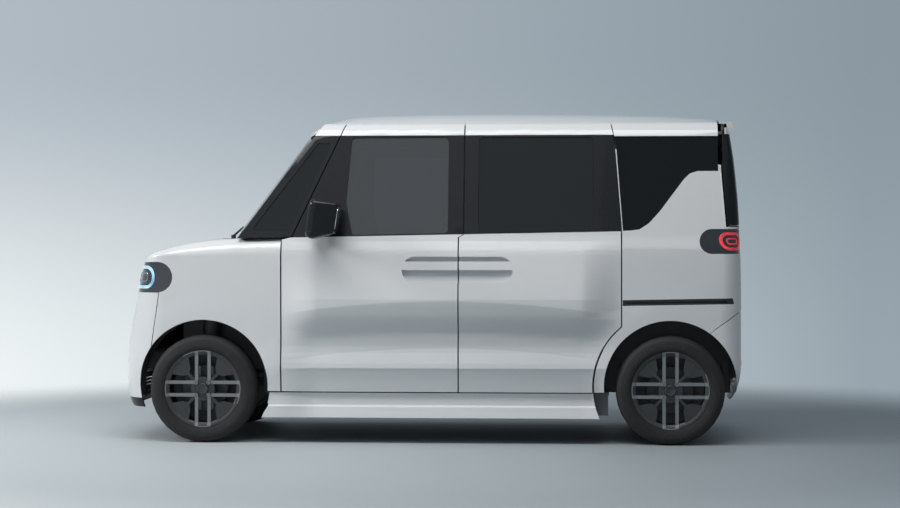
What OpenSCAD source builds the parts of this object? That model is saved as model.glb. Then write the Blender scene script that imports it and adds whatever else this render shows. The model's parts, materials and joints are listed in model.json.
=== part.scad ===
// Small tall electric wagon: body panels, glass, lamps, frame, running gear and cabin.
// The nose points along -X, the left side lies at -Y, and the road is at Z = 0.

/* [Body] */
// Distance from the nose to the front wheel arch
nose_to_arch = 145.5; // [138:0.5:158]
// Distance between the axles
wheelbase = 2500; // [2480:1:2540]
// Distance from the rear wheel arch to the tail
arch_to_tail = 45.5; // [38:0.5:58]
// Width over the body sides
body_width = 1475; // [1460:1:1490]
// Height of the roof crown above the road
body_height = 1800; // [1790:1:1820]
// Height of the window sill line at mid length
belt_z = 1112; // [1106:1:1118]
// Rise of the window sill line over one metre
belt_rise = 18; // [10:1:24]
// Height of the roof crown above the side windows
roof_rise = 155; // [150:1:160]
// Radius of the roof edge above the side windows
roof_edge_r = 92; // [86:1:96]
// Outward swell of the panels round the wheel arches
flare = 8; // [4:1:10]
// Height of the sill's lower edge
sill_z = 132; // [125:1:140]

/* [Panels] */
// Gap round a panel that opens
shut_gap = 7; // [6.5:0.5:8]
// Gap between two fixed panels
panel_gap = 4; // [3:0.5:5]
// Clearance of a piece on its seat
seat_gap = 0.3; // [0.2:0.05:0.5]
// Thickness of the doors below the windows
door_thick = 110; // [100:1:115]
// Thickness of the window frames
frame_thick = 45; // [40:1:48]
// Width of the box frame behind the doors
rail_thick = 55; // [50:1:58]
// Thickness of the fender sheet
fender_thick = 3; // [2.5:0.5:4]
// Thickness of the bumper covers
bumper_thick = 22; // [16:1:26]
// Thickness of the roof panel
roof_thick = 14; // [10:1:18]
// Thickness of the bonnet
bonnet_thick = 16; // [12:1:20]
// Thickness of a window pane
glass_thick = 5; // [4:0.5:6]
// Depth of a pane below the frame's face
glass_inset = 6; // [4:0.5:9]

/* [Doors] */
// Distance from the front wheel arch to the front door
arch_to_door = 72; // [63:1:80]
// Length of the front door below the windows
front_door_l = 952; // [940:1:962]
// Reach of the rear wheel arch past the rear door's edge
arch_past_door = 94; // [86:1:102]
// Height of the doors' lower edge
door_bottom_z = 278; // [272:1:284]
// Distance from the door's front edge to its hinge
hinge_back = 40; // [38:1:44]
// Depth of the hinge below the widest outline
hinge_depth = 37; // [36:1:39]
// Radius of the hinge pins
pin_r = 5; // [4.5:0.5:6]
// Radial play of the hinge pins
pin_play = 0.05; // [0.02:0.01:0.1]
// Height of the doors' lower hinge
low_hinge_z = 600; // [590:1:610]
// Height of the doors' upper hinge
high_hinge_z = 900; // [880:1:920]

/* [Wheels] */
// Distance from the body side to the wheel's centre plane
wheel_inset = 92.5; // [89.5:0.5:97.5]
// Tyre diameter
tyre_d = 579; // [570:1:585]
// Tyre width
tyre_w = 165; // [158:1:170]
// Diameter of the rim's bead seat
rim_d = 381; // [375:1:385]
// Width between the rim flanges
rim_w = 127; // [120:1:132]
// Radius of the wheel arch opening
arch_r = 352; // [346:1:356]
// Height of the arch centre above the wheel centre
arch_rise = 18; // [14:1:22]
// Radius of the stub axles
stub_r = 17; // [15:1:19]
// Radial play of the stub axles
stub_play = 0.05; // [0.02:0.01:0.1]
// Distance from the kingpin to the wheel's centre plane
kingpin_offset = 66; // [64:1:69]

/* [Hidden] */

front_overhang = nose_to_arch + arch_r;
rear_overhang = arch_r + arch_to_tail;
body_length = front_overhang + wheelbase + rear_overhang;
nose_x = -body_length / 2;
tail_x = body_length / 2;
front_axle_x = nose_x + front_overhang;
rear_axle_x = front_axle_x + wheelbase;
half_w = body_width / 2;
track = body_width - 2 * wheel_inset;
window_top_z = body_height - roof_rise;
window_h = window_top_z - belt_z;
axle_z = tyre_d / 2;
arch_z = axle_z + arch_rise;
arches = [[front_axle_x, arch_z], [rear_axle_x, arch_z]];
g = shut_gap / 2;
pg = panel_gap / 2;
big = 4000;
tiny = 0.01;
curve_fn = 48;
hinge_z = [low_hinge_z, high_hinge_z];
// seams of the side panels
door_front_x = front_axle_x + arch_r + arch_to_door;
split_x = door_front_x + front_door_l;
split_top_x = split_x + 28;
door_rear_x = rear_axle_x - arch_r + arch_past_door;
hinge_x = door_front_x + g + hinge_back;
rear_door_arch_r = arch_r + 58;
// seam between roof and tailgate
gate_x = tail_x - 135;
// foot of the windscreen at the sides, rear edge of the bonnet, and its flatter run behind the lamps
screen_base_x = door_front_x - 237;
bonnet_rear_x = screen_base_x - 87;
bonnet_bend = 330;
bonnet_run = bonnet_rear_x - nose_x - bonnet_bend;

// Plan outline of the body: five tangent arcs from the nose round one side to the tail
nose_bow_r = 3200;
nose_corner_r = 250;
side_bow_r = 45000;
tail_corner_r = 110;
tail_bow_r = 10000;
nose_c = [nose_x + nose_bow_r, 0];
side_c = [60, half_w - side_bow_r];
tail_c = [tail_x - tail_bow_r, 0];
function meet(p, a, q, b, turn) =
    let (d = norm(q - p), u = (q - p) / d, m = (a * a - b * b + d * d) / (2 * d))
    p + u * m + turn * sqrt(a * a - m * m) * [-u.y, u.x];
function angle_of(v) = atan2(v.y, v.x);
nose_corner_c = meet(nose_c, nose_bow_r - nose_corner_r, side_c, side_bow_r - nose_corner_r, -1);
tail_corner_c = meet(tail_c, tail_bow_r - tail_corner_r, side_c, side_bow_r - tail_corner_r, 1);
nose_end_a = angle_of(nose_corner_c - nose_c);
side_start_a = angle_of(nose_corner_c - side_c);
side_end_a = angle_of(tail_corner_c - side_c);
tail_start_a = angle_of(tail_corner_c - tail_c);
// A station of the outline: x, y and the outward normal
function station(c, r, a) = [c.x + r * cos(a), c.y + r * sin(a), cos(a), sin(a)];
function arc_stations(c, r, a, b, n, first) = [for (i = [first:n]) station(c, r, a + (b - a) * i / n)];
function side_station(x) = station(side_c, side_bow_r, acos((x - side_c.x) / side_bow_r));
function side_stations(a, b, n) = [for (i = [0:n]) side_station(a + (b - a) * i / n)];
function other_side(stations) = [for (i = [len(stations) - 1:-1:0])
    let (s = stations[i]) [s[0], -s[1], s[2], -s[3]]];
nose_half = arc_stations(nose_c, nose_bow_r, 180, nose_end_a, 4, 0);
nose_corner = arc_stations(nose_corner_c, nose_corner_r, nose_end_a, side_start_a, 8, 1);
tail_corner = arc_stations(tail_corner_c, tail_corner_r, side_end_a, tail_start_a, 6, 0);
tail_half = arc_stations(tail_c, tail_bow_r, tail_start_a, 0, 3, 1);

// Insets of the body surface from the plan outline: height, side, nose, tail
SECTION = [
    [120, 44, 90, 110],
    [200, 33, 24, 60],
    [275, 27, 5, 30],
    [340, 20, 0, 10],
    [385, 12, 0, 3],
    [404, 6, 0, 1],
    [430, 7, 0, 0],
    [486, 16, 2, 0],
    [520, 18, 6, 0],
    [600, 16, 18, 0],
    [730, 10, 47, 0],
    [805, 9, 62, 1],
    [870, 9, 76, 2],
    [969, 9, 115, 4],
    [1034, 11, 150, 6],
    [belt_z, 33, 200, 9],
    [belt_z + 0.353 * window_h, 66, 260, 19],
    [belt_z + 0.756 * window_h, 103, 300, 41],
    [window_top_z, 126, 320, 62]];
// Height of the bonnet's edge along the car: distance behind the nose, height
BONNET_LINE = [[130, 975], [190, 1008], [250, 1033], [bonnet_bend, 1056],
    [bonnet_bend + 0.374 * bonnet_run, 1076], [bonnet_bend + 1.047 * bonnet_run, 1094],
    [bonnet_bend + 2.28 * bonnet_run, 1104]];
// Roof along the middle: distance ahead of the tail, height below the crown
ROOF_LINE = [[-20, 110], [60, 62], [135, 44], [315, 22], [765, 7], [1400, 0], [1700, 2], [2000, 8],
    [2130, 18],
    [2210, 34], [2290, 62], [2340, 92], [2390, 130]];

// Smooth curve through a table's rows, column k over the first column
function slope(t, i, k) = let (a = max(i - 1, 0), b = min(i + 1, len(t) - 1))
    (t[b][k] - t[a][k]) / (t[b][0] - t[a][0]);
function row_of(t, v, i = 0) = i >= len(t) - 2 || v < t[i + 1][0] ? i : row_of(t, v, i + 1);
function through(t, v, k) =
    let (i = row_of(t, v), h = t[i + 1][0] - t[i][0], u = (v - t[i][0]) / h)
    t[i][k] * (2 * u * u * u - 3 * u * u + 1) + h * slope(t, i, k) * (u * u * u - 2 * u * u + u)
    + t[i + 1][k] * (3 * u * u - 2 * u * u * u) + h * slope(t, i + 1, k) * (u * u * u - u * u);
function bonnet_z(x) = through(BONNET_LINE, x - nose_x, 1);
function roof_line_z(x) = body_height - through(ROOF_LINE, tail_x - x, 1);
function belt(x) = belt_z + belt_rise * x / 1000;

// Swell round the arches: full within the lip, gone past the crease
lip_r = arch_r + 70;
crease_r = arch_r + 132;
function ease(u) = let (v = min(max(u, 0), 1)) v * v * (3 - 2 * v);
function swell(x, z) = flare * max([for (a = arches)
    ease((crease_r - norm([x - a.x, z - a.y])) / (crease_r - lip_r))]);

// Points of the body surface: a station, a row [height, roof angle] and a depth below the surface
function inset_at(s, z) =
    s[3] * s[3] * through(SECTION, z, 1) + s[2] * s[2] * through(SECTION, z, s[2] < 0 ? 2 : 3);
function surface_inset(s, z) = max(1, inset_at(s, z) - s[3] * s[3] * swell(s[0], z));
function at(s, d, z) = [s[0] - s[2] * d, s[1] - s[3] * d, z];
// depth from which the wall no longer follows the swell round the arches
skin_deep = 60;
edge_lean = 10;
edge_z = window_top_z - roof_edge_r * sin(edge_lean);
function edge_inset(s) = inset_at(s, window_top_z) + roof_edge_r * cos(edge_lean);
side_point = function (s, row, t) row[1] == 0
    ? at(s, (t < skin_deep ? surface_inset(s, row[0]) : inset_at(s, row[0])) + t, row[0])
    : at(s, edge_inset(s) - (roof_edge_r - t) * cos(row[1]), edge_z + (roof_edge_r - t) * sin(row[1]));
// The front wings and nose roll over from the flank to the bonnet's edge
roll_side = 92;
roll_nose = 105;
roll_foot_side = 1000;
roll_foot_nose = 955;
front_point = function (s, row, t)
    let (w = s[3] * s[3],
        foot = w * roll_foot_side + (1 - w) * roll_foot_nose,
        r = w * roll_side + (1 - w) * roll_nose,
        base = inset_at(s, foot),
        top = bonnet_z(s[0] - s[2] * (base + r)))
    row[1] == 0
    ? at(s, surface_inset(s, min(row[0], foot)) + t, min(row[0], foot))
    : at(s, base + r - (r - t) * cos(row[1]), foot + (top - foot - t) * sin(row[1]));

LOWER = [for (z = [door_bottom_z - 6, 310, 345, 385, 404, 430, 460, 486, 520, 600, 665, 730, 870, 969,
    1010, 1034,
    1060, 1086]) [z, 0]];
UPPER = [for (u = [0, 0.165, 0.353, 0.559, 0.756, 1]) [belt_z + u * window_h, 0]];
QUARTER = [for (z = [door_bottom_z - 6, 345, 404, 460, 520, 600, 665, 730, 870, 969, 1034, 1052, 1086])
    [z, 0]];
EDGE = [for (a = [14, 28, 42, 56, 70, 84]) [0, a]];
FRONT = [for (z = [180, 200, 240, 275, 340, 400, 460, 520, 580, 640, 700, 760, 805, 870, 930, 2000]) [z, 0]];
ROLL = [for (a = [18, 36, 54, 72, 88]) [0, a]];

// Closed solid between two point grids, outer[column][row] and inner[column][row]
module sheet(outer, inner) {
    n = len(outer);
    m = len(outer[0]);
    count = n * m;
    points = concat([for (c = outer) each c], [for (c = inner) each c]);
    // the four corners of one grid cell
    cell = function (i, j) [i * m + j, i * m + m + j, i * m + m + j + 1, i * m + j + 1];
    skins = [for (i = [0:n - 2], j = [0:m - 2]) let (c = cell(i, j)) each
        [[c[0], c[1], c[2]], [c[0], c[2], c[3]],
        [count + c[0], count + c[2], count + c[1]], [count + c[0], count + c[3], count + c[2]]]];
    wall = function (a, b) [[a, b, count + b], [a, count + b, count + a]];
    walls = concat(
        [for (i = [0:n - 2]) each wall(i * m + m, i * m)],
        [for (i = [0:n - 2]) each wall(i * m + m - 1, i * m + 2 * m - 1)],
        [for (j = [0:m - 2]) each wall(j, j + 1)],
        [for (j = [0:m - 2]) each wall((n - 1) * m + j + 1, (n - 1) * m + j)]);
    polyhedron(points, concat(skins, walls), convexity = 6);
}
// Part of the body wall between two depths, each a function of the row
module wall_of(stations, rows, point, near, far) {
    sheet([for (s = stations) [for (r = rows) point(s, r, near(r))]],
        [for (s = stations) [for (r = rows) point(s, r, far(r))]]);
}
depth = function (t) function (row) t;
// Depth of the doors' inner face: full below the windows, thin in the window frames
belt_step = 60;
door_depth = function (row) row[1] > 0 || row[0] >= belt_z ? frame_thick
    : row[0] <= belt_z - belt_step ? door_thick
    : frame_thick + (door_thick - frame_thick) * (belt_z - row[0]) / belt_step;
wall_depth = function (row) door_depth(row) + shut_gap - 1 - 2.5 * seat_gap;
rail_near = function (row) door_depth(row) + shut_gap - 1;
rail_far = function (row) rail_near(row) + rail_thick;

// An outline in the side view, carried across the car between two widths
module across(y0, y1) {
    translate([0, y1, 0]) rotate([90, 0, 0]) linear_extrude(y1 - y0) children();
}
// An outline in the rear view, carried along the car
module along(x0, x1) {
    translate([x0, 0, 0]) rotate([90, 0, 90]) linear_extrude(x1 - x0) children();
}
module right_side() {
    across(200, 1000) children();
}
module both_sides() {
    children();
    mirror([0, 1, 0]) children();
}
module rounded(r) {
    offset(r, $fn = 24) offset(delta = -r) children();
}
module rod(r, h) {
    cylinder(r = r, h = h, $fn = curve_fn);
}
// A rod across the car, centred on its place
module cross_rod(r, h) {
    rotate([90, 0, 0]) cylinder(r = r, h = h, center = true, $fn = curve_fn);
}
module arch_disc(x, r) {
    translate([x, arch_z]) circle(r, $fn = 96);
}
module slab(x0, x1, z0, z1) {
    translate([x0, z0]) square([x1 - x0, z1 - z0]);
}

// Front edge of the windscreen's side and of the door's window frame
screen_lean = 405 / 542;
frame_lean = 257 / 546;
frame_base_x = door_front_x + 55;
function screen_x(z) = screen_base_x + (z - belt_z) * screen_lean;
function frame_x(z) = frame_base_x + (z - belt_z) * frame_lean;
roof_seam_z = window_top_z + 10;
roof_cut_z = window_top_z + 115;
roof_seam_top = [frame_x(roof_seam_z) + 42, roof_cut_z];
rear_seam_low = [door_rear_x - 41, roof_seam_z];
rear_seam_top = [door_rear_x - 66, roof_cut_z];

module front_door_outline() {
    polygon([
        [door_front_x + g, door_bottom_z],
        [door_front_x + g, belt(door_front_x) - 8],
        [frame_x(belt_z) + g, belt(frame_x(belt_z)) + 4],
        [frame_x(roof_seam_z) + g, roof_seam_z],
        [roof_seam_top.x + g, roof_seam_top.y],
        [split_top_x - g, roof_seam_top.y],
        [split_top_x - g, belt(split_x) + 2],
        [split_x - g, belt(split_x) - 14],
        [split_x - g, door_bottom_z]]);
}
module rear_door_outline() {
    difference() {
        polygon([
            [split_x + g, door_bottom_z],
            [split_x + g, belt(split_x) - 14],
            [split_top_x + g, belt(split_x) + 2],
            [split_top_x + g, rear_seam_top.y],
            [rear_seam_top.x - g, rear_seam_top.y],
            [rear_seam_low.x - g, rear_seam_low.y],
            [door_rear_x - g, belt(door_rear_x)],
            [door_rear_x - g, door_bottom_z]]);
        arch_disc(rear_axle_x, rear_door_arch_r + g);
    }
}
window_corner = 22;
window_foot = 8;
module front_window(clear) {
    offset(delta = -clear) rounded(window_corner) polygon([
        [frame_x(belt_z) + 325, belt(frame_x(belt_z) + 325) + window_foot],
        [frame_x(belt_z) + 290, belt_z + 180],
        [frame_x(belt_z) + 316, window_top_z - 6],
        [split_x - 57, window_top_z - 6],
        [split_x - 57, belt(split_x) + window_foot]]);
}
module rear_window(clear) {
    offset(delta = -clear) rounded(window_corner) polygon([
        [split_x + 104, belt(split_x) + window_foot],
        [split_x + 104, window_top_z - 6],
        [door_rear_x - 147, window_top_z - 6],
        [door_rear_x - 147, belt(door_rear_x) + window_foot]]);
}
module quarter_light(clear) {
    offset(delta = -clear) rounded(14) polygon([
        [screen_x(belt_z + 25) + 52, belt_z + 25],
        [screen_x(window_top_z - 34) + 52, window_top_z - 34],
        [frame_x(window_top_z - 34) - 24, window_top_z - 34],
        [frame_x(belt_z + 25) - 24, belt_z + 25]]);
}
// The rear quarter's dark glass: an S-shaped lower edge rises to the rear pillar's shoulder
shoulder_z = belt_z + 0.65 * window_h;
shoulder_h = shoulder_z - belt_z;
module quarter_window(clear) {
    x0 = door_rear_x + g + 4;
    offset(delta = -clear) polygon([
            [x0, belt(x0) + 4],
            [rear_seam_low.x + g + 6, window_top_z - 2],
            [gate_x - 2 * g, window_top_z - 2],
            [gate_x - 2 * g, shoulder_z - 4],
            [tail_x - 252, shoulder_z - 4],
            [tail_x - 292, shoulder_z - 0.05 * shoulder_h],
            [tail_x - 322, shoulder_z - 0.13 * shoulder_h],
            [tail_x - 452, belt_z + 0.37 * shoulder_h],
            [tail_x - 510, belt_z + 0.185 * shoulder_h],
            [tail_x - 560, belt_z + 0.09 * shoulder_h],
            [tail_x - 610, belt(x0) + 6]]);
}

door_stations = side_stations(door_front_x - 25, split_top_x + 30, 5);
rear_door_stations = side_stations(split_x - 25, door_rear_x + 30, 4);
SIDE_ROWS = concat(LOWER, UPPER, EDGE);

module front_door() {
    color("whitesmoke") difference() {
        union() {
            difference() {
                intersection() {
                    wall_of(door_stations, SIDE_ROWS, side_point, depth(0), door_depth);
                    right_side() difference() {
                        front_door_outline();
                        front_window(0);
                    }
                }
                // only the outer sheet runs on in front of the hinge
                intersection() {
                    wall_of(side_stations(door_front_x - 60, hinge_x + 60, 2), SIDE_ROWS, side_point,
                        depth(flange_thick), depth(door_thick + 60));
                    right_side() slab(door_front_x - 50, hinge_x + leaf_half + shut_gap, 0, belt_z + 30);
                }
            }
            for (z = hinge_z, end = [-1, 1]) hinge_lug(z, end);
        }
        for (z = hinge_z) translate([hinge_x, hinge_y, z - 80]) rod(pin_r + pin_play, 160);
        handle_recess();
    }
}
// Hinge of the front door: a leaf on the pillar between two lugs of the door
hinge_y = side_station(hinge_x)[1] - hinge_depth;
flange_thick = 6;
leaf_half = 8;
leaf_h = 34;
lug_h = 20;
lug_play = 0.6;
module hinge_lug(z, end) {
    z0 = end > 0 ? z + leaf_h / 2 + lug_play : z - leaf_h / 2 - lug_play - lug_h;
    reach = leaf_half + shut_gap + 12;
    translate([hinge_x, hinge_y, z0]) {
        rod(leaf_half + 1, lug_h);
        translate([0, -leaf_half - 1, 0]) cube([reach, 2 * leaf_half + 2, lug_h]);
    }
}
module door_leaf(z) {
    foot_y = side_point(side_station(hinge_x), [z, 0], rail_near([z, 0])).y + 2.5 * seat_gap;
    translate([hinge_x, hinge_y, z - leaf_h / 2]) {
        rod(leaf_half, leaf_h);
        translate([-leaf_half, foot_y - hinge_y, 0]) cube([2 * leaf_half, hinge_y - foot_y, leaf_h]);
        translate([0, 0, -lug_h]) rod(pin_r, leaf_h + 2 * lug_h);
    }
}
// Handle recess shared by both doors, with a bar across each half
handle_z = 928;
recess_half_h = 70;
recess_depth = 26;
bar_h = 46;
bar_z = handle_z + 22;
recess_x0 = split_x - 300;
recess_x1 = split_x + 290;
module recess_outline() {
    hull() for (x = [recess_x0 + recess_half_h, recess_x1 - recess_half_h])
        translate([x, handle_z]) circle(recess_half_h, $fn = 48);
}
module handle_recess() {
    intersection() {
        wall_of(side_stations(recess_x0 - 30, recess_x1 + 30, 2), [[handle_z - 100, 0], [handle_z + 100, 0]],
            side_point, depth(-20), depth(recess_depth));
        right_side() difference() {
            recess_outline();
            slab(recess_x0 - 10, recess_x1 + 10, bar_z - bar_h / 2, bar_z + bar_h / 2);
        }
    }
}
module front_door_glass() {
    color("dimgray") intersection() {
        wall_of(door_stations, concat([[1086, 0]], UPPER), side_point, depth(glass_inset),
            depth(glass_inset + glass_thick));
        right_side() front_window(seat_gap);
    }
}
module front_door_left() { mirror([0, 1, 0]) front_door(); }
module front_door_right() { front_door(); }
module front_door_glass_left() { mirror([0, 1, 0]) front_door_glass(); }
module front_door_glass_right() { front_door_glass(); }

// Door mirror: a foot on the door's window frame, a short arm and a rounded housing
mirror_x = door_front_x + 175;
mirror_z = belt_z + 93;
mirror_y = half_w + 92;
mirror_root = -26;
module door_mirror() {
    color("black") {
        intersection() {
            wall_of(side_stations(mirror_x + 30, mirror_x + 190, 2), UPPER, side_point, depth(-12),
                depth(-seat_gap));
            right_side() rounded(18) polygon([[mirror_x + 65, belt_z + 10], [mirror_x + 100, belt_z + 95],
                [mirror_x + 155, belt_z + 95], [mirror_x + 165, belt_z + 10]]);
        }
        hull() {
            translate(side_point(side_station(mirror_x + 118), [belt_z + 52, 0], mirror_root))
                sphere(22, $fn = 24);
            translate([mirror_x + 70, mirror_y - 20, mirror_z - 78]) sphere(24, $fn = 24);
        }
        hull() for (y = [-62, 70], z = [-72, 62], x = [18, 120])
            translate([mirror_x + x + (z > 0 ? 20 : 0), mirror_y + y, mirror_z + z])
                sphere(x > 100 ? 14 : 40, $fn = 24);
    }
}
module mirror_left() { mirror([0, 1, 0]) door_mirror(); }
module mirror_right() { door_mirror(); }

module rear_doors() {
    color("whitesmoke") both_sides() difference() {
        intersection() {
            wall_of(rear_door_stations, SIDE_ROWS, side_point, depth(0), wall_depth);
            right_side() difference() {
                rear_door_outline();
                rear_window(0);
            }
        }
        handle_recess();
    }
}
module side_glass() {
    color("dimgray") both_sides() {
        intersection() {
            wall_of(rear_door_stations, concat([[1086, 0]], UPPER), side_point, depth(glass_inset),
                depth(glass_inset + glass_thick));
            right_side() rear_window(seat_gap);
        }
        intersection() {
            wall_of(side_stations(screen_base_x - 20, roof_seam_top.x, 2), UPPER, side_point,
                depth(glass_inset),
                depth(glass_inset + glass_thick));
            right_side() quarter_light(seat_gap);
        }
        intersection() {
            wall_of(quarter_stations, concat([[1086, 0]], UPPER), side_point, depth(glass_inset + 4),
                depth(glass_inset + 4 + glass_thick));
            right_side() quarter_window(seat_gap);
        }
    }
}
quarter_stations = concat(side_stations(rear_seam_top.x - 30, tail_x - 135, 6), tail_corner);
pillar_stations = side_stations(screen_base_x - 30, roof_seam_top.x + 20, 4);

// Black front pillars round the quarter lights, with the roof's front corners above them
module front_pillars() {
    color("black") both_sides() intersection() {
        wall_of(pillar_stations, concat([[1086, 0]], UPPER, EDGE), side_point, depth(0), wall_depth);
        right_side() difference() {
            polygon([
                [screen_x(belt_z), belt(screen_base_x) + 6],
                [screen_x(roof_cut_z), roof_cut_z],
                [roof_seam_top.x - g, roof_cut_z],
                [frame_x(roof_seam_z) - g, roof_seam_z],
                [frame_x(belt_z) - g, belt(frame_x(belt_z)) + 6]]);
            quarter_light(0);
        }
    }
}

// Rear quarter: flank, arch lip and rear pillar below the dark glass, and the roof edge above it
lamp_z = 1079;
lamp_half_h = 66;
lamp_front_x = tail_x - 244;
lamp_inner_y = half_w - 177.5;
bumper_seam = [[tail_x - 150, 622], [tail_x - 30, 706], [tail_x + 60, 712]];
module tail_lamp_outline(grow) {
    hull() {
        translate([lamp_front_x + lamp_half_h, lamp_z]) circle(lamp_half_h + grow, $fn = 48);
        translate([tail_x + 100, lamp_z]) circle(lamp_half_h + grow, $fn = 48);
    }
}
gate_side = [[tail_x - 100, belt_z + 44], [tail_x - 124, shoulder_z], [gate_x + 10, window_top_z + 5]];
module quarter_panels() {
    color("whitesmoke") both_sides() difference() {
        intersection() {
            wall_of(quarter_stations, concat(QUARTER, UPPER), side_point, depth(0), wall_depth);
            across(tail_panel_y + pg, 1000) quarter_outline();
        }
        rail_slot(seat_gap);
    }
    color("whitesmoke") both_sides() intersection() {
        wall_of(side_stations(rear_seam_top.x - 10, gate_x + 30, 5),
            concat([[window_top_z - 60, 0], [window_top_z, 0]],
            EDGE), side_point, depth(0), wall_depth);
        right_side() polygon([[rear_seam_low.x + g, window_top_z - 2 + seat_gap],
            [rear_seam_top.x + g, roof_cut_z],
            [gate_x - 2 * g, roof_cut_z], [gate_x - 2 * g, window_top_z - 2 + seat_gap]]);
    }
}
tail_panel_y = half_w - 125.5;
module quarter_outline() {
    difference() {
        union() {
            polygon(concat(
                [[door_rear_x + g, 600], [door_rear_x + g, belt(door_rear_x)],
                    [rear_seam_low.x + g, window_top_z - 2]],
                [for (i = [2:-1:0]) gate_side[i] - [g, 0]],
                [[tail_x + 100, belt_z + 40]],
                [for (i = [2:-1:0]) bumper_seam[i] + [0, pg]],
                [[tail_x - 230, 560], [rear_axle_x, 560]]));
            intersection() {
                arch_disc(rear_axle_x, rear_door_arch_r - g);
                slab(rear_axle_x - rear_door_arch_r, rear_axle_x, door_bottom_z, 700);
            }
        }
        arch_disc(rear_axle_x, arch_r);
        quarter_window(0);
        tail_lamp_outline(seat_gap);
    }
}
// Track of the sliding door, let into the quarter panel
rail_z = 755;
rail_h = 34;
rail_deep = 24;
module rail_slot(grow) {
    intersection() {
        wall_of(concat(side_stations(door_rear_x - 10, tail_x - 135, 8), tail_corner),
            [for (z = [-60, -20, 20, 60]) [rail_z + z, 0]], side_point, depth(-6), depth(rail_deep + grow));
        right_side() offset(delta = grow) polygon([[door_rear_x + 6, rail_z - rail_h / 2],
            [door_rear_x + 6, rail_z + rail_h / 2 - 4], [tail_x - 70, rail_z + rail_h / 2 + 6],
            [tail_x - 62, rail_z - rail_h / 2 + 10]]);
    }
}
module slide_rails() {
    color("black") both_sides() difference() {
        intersection() {
            rail_slot(0);
            wall_of(concat(side_stations(door_rear_x - 10, tail_x - 135, 8), tail_corner),
                [for (z = [-60, -20, 20, 60]) [rail_z + z, 0]], side_point, depth(1), depth(rail_deep));
        }
        intersection() {
            wall_of(concat(side_stations(door_rear_x - 10, tail_x - 135, 4), [tail_corner[3]]),
                [for (z = [-60, 60]) [rail_z + z, 0]], side_point, depth(-10), depth(14));
            right_side() polygon([[door_rear_x + 20, rail_z - 7], [door_rear_x + 20, rail_z + 3],
                [tail_x - 100, rail_z + 10], [tail_x - 100, rail_z]]);
        }
    }
}
module tail_lamps() {
    color("darkred") both_sides() intersection() {
        wall_of(concat(side_stations(lamp_front_x - 20, tail_x - 135, 3), tail_corner, tail_half),
            [for (z = [-80, -40, 0, 40, 80]) [lamp_z + z, 0]], side_point, depth(1), depth(48));
        across(lamp_inner_y, big) tail_lamp_outline(0);
    }
}

// Sill mouldings between the wheel arches
module sills() {
    color("whitesmoke") both_sides() intersection() {
        wall_of(side_stations(door_front_x - 160, door_rear_x - 20, 6),
            [for (z = [sill_z, 140, 186, 198, 206, 240, 280]) [z, 0]],
            function (s, row, t) at(s, (row[0] < 199 ? (row[0] < 139 ? 24 : 10) : 30) + t, row[0]),
                depth(0), depth(130));
        across(rocker_y[1] + seat_gap, 1000) difference() {
            polygon([[door_front_x - 112, sill_z], [door_front_x - 70, 200],
                [door_front_x - 90, door_bottom_z - shut_gap],
                [door_rear_x - 60, door_bottom_z - shut_gap], [door_rear_x - 100, 200],
                    [door_rear_x - 66, sill_z]]);
            arch_disc(rear_axle_x, rear_door_arch_r);
            arch_disc(front_axle_x, arch_r + 9);
        }
    }
}

// Front end: wings, bumper cover and lamps share the nose's rolled surface
head_z = 888;
head_half_h = 81;
head_rear_x = nose_x + 329;
head_inner_y = half_w - 307.5;
wing_seam = [[nose_x + 256, head_z - head_half_h], [front_axle_x - 0.81 * arch_r, arch_z + 0.588 * arch_r]];
front_rows = concat(FRONT, ROLL);
wing_stations = concat([for (i = [2:4]) nose_half[i]], nose_corner,
    side_stations(front_axle_x - 170, door_front_x + 20, 9));
module headlamp_outline(grow) {
    hull() {
        translate([head_rear_x - head_half_h, head_z]) circle(head_half_h + grow, $fn = 48);
        translate([nose_x - 200, head_z]) circle(head_half_h + grow, $fn = 48);
    }
}
module front_fenders() {
    color("whitesmoke") both_sides() difference() {
        intersection() {
            wall_of(wing_stations, front_rows, front_point, depth(0), depth(fender_thick));
            across(head_inner_y, 1000) difference() {
                polygon([[nose_x - 50, head_z - head_half_h + pg], wing_seam[0] + [pg, pg],
                    wing_seam[1] + [pg, 0],
                    [front_axle_x, door_bottom_z], [door_front_x - g, door_bottom_z],
                        [door_front_x - g, 1300],
                    [nose_x - 50, 1300]]);
                arch_disc(front_axle_x, arch_r);
            }
        }
        across(head_inner_y - 5, 1000) headlamp_outline(0.6);
    }
}
module headlamps() {
    color("black") both_sides() intersection() {
        wall_of(concat([nose_half[2], nose_half[3], nose_half[4]], nose_corner,
            side_stations(front_axle_x - 170, front_axle_x - 80, 1)),
            [for (z = [-90, -45, 0, 45, 90]) [head_z + z, 0]], front_point, depth(2), depth(60));
        across(head_inner_y + 2, 1000) headlamp_outline(0);
    }
}
bumper_z = 186;
grille_half_w = half_w - 307.5;
grille_z = [236, 330];
nose_front = concat(other_side(nose_half), [for (i = [1:4]) nose_half[i]]);
nose_stations = concat(other_side(concat(nose_half, nose_corner)), [for (i = [1:4]) nose_half[i]],
    nose_corner);
module front_bumper() {
    color("whitesmoke") difference() {
        intersection() {
            wall_of(nose_stations, front_rows, front_point, depth(0), depth(bumper_thick));
            union() {
                across(-1000, 1000) difference() {
                    polygon([[nose_x - 50, bumper_z], [nose_x - 50, head_z - head_half_h - pg],
                        wing_seam[0] - [pg, pg], wing_seam[1] - [pg, 0], [front_axle_x, arch_z],
                            [front_axle_x, bumper_z]]);
                    arch_disc(front_axle_x, arch_r);
                }
                across(-head_inner_y + panel_gap, head_inner_y - panel_gap)
                    slab(nose_x - 50, front_axle_x, 700, 1300);
            }
        }
        along(nose_x - 50, nose_x + 200) grille_outline(seat_gap);
    }
}
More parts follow.
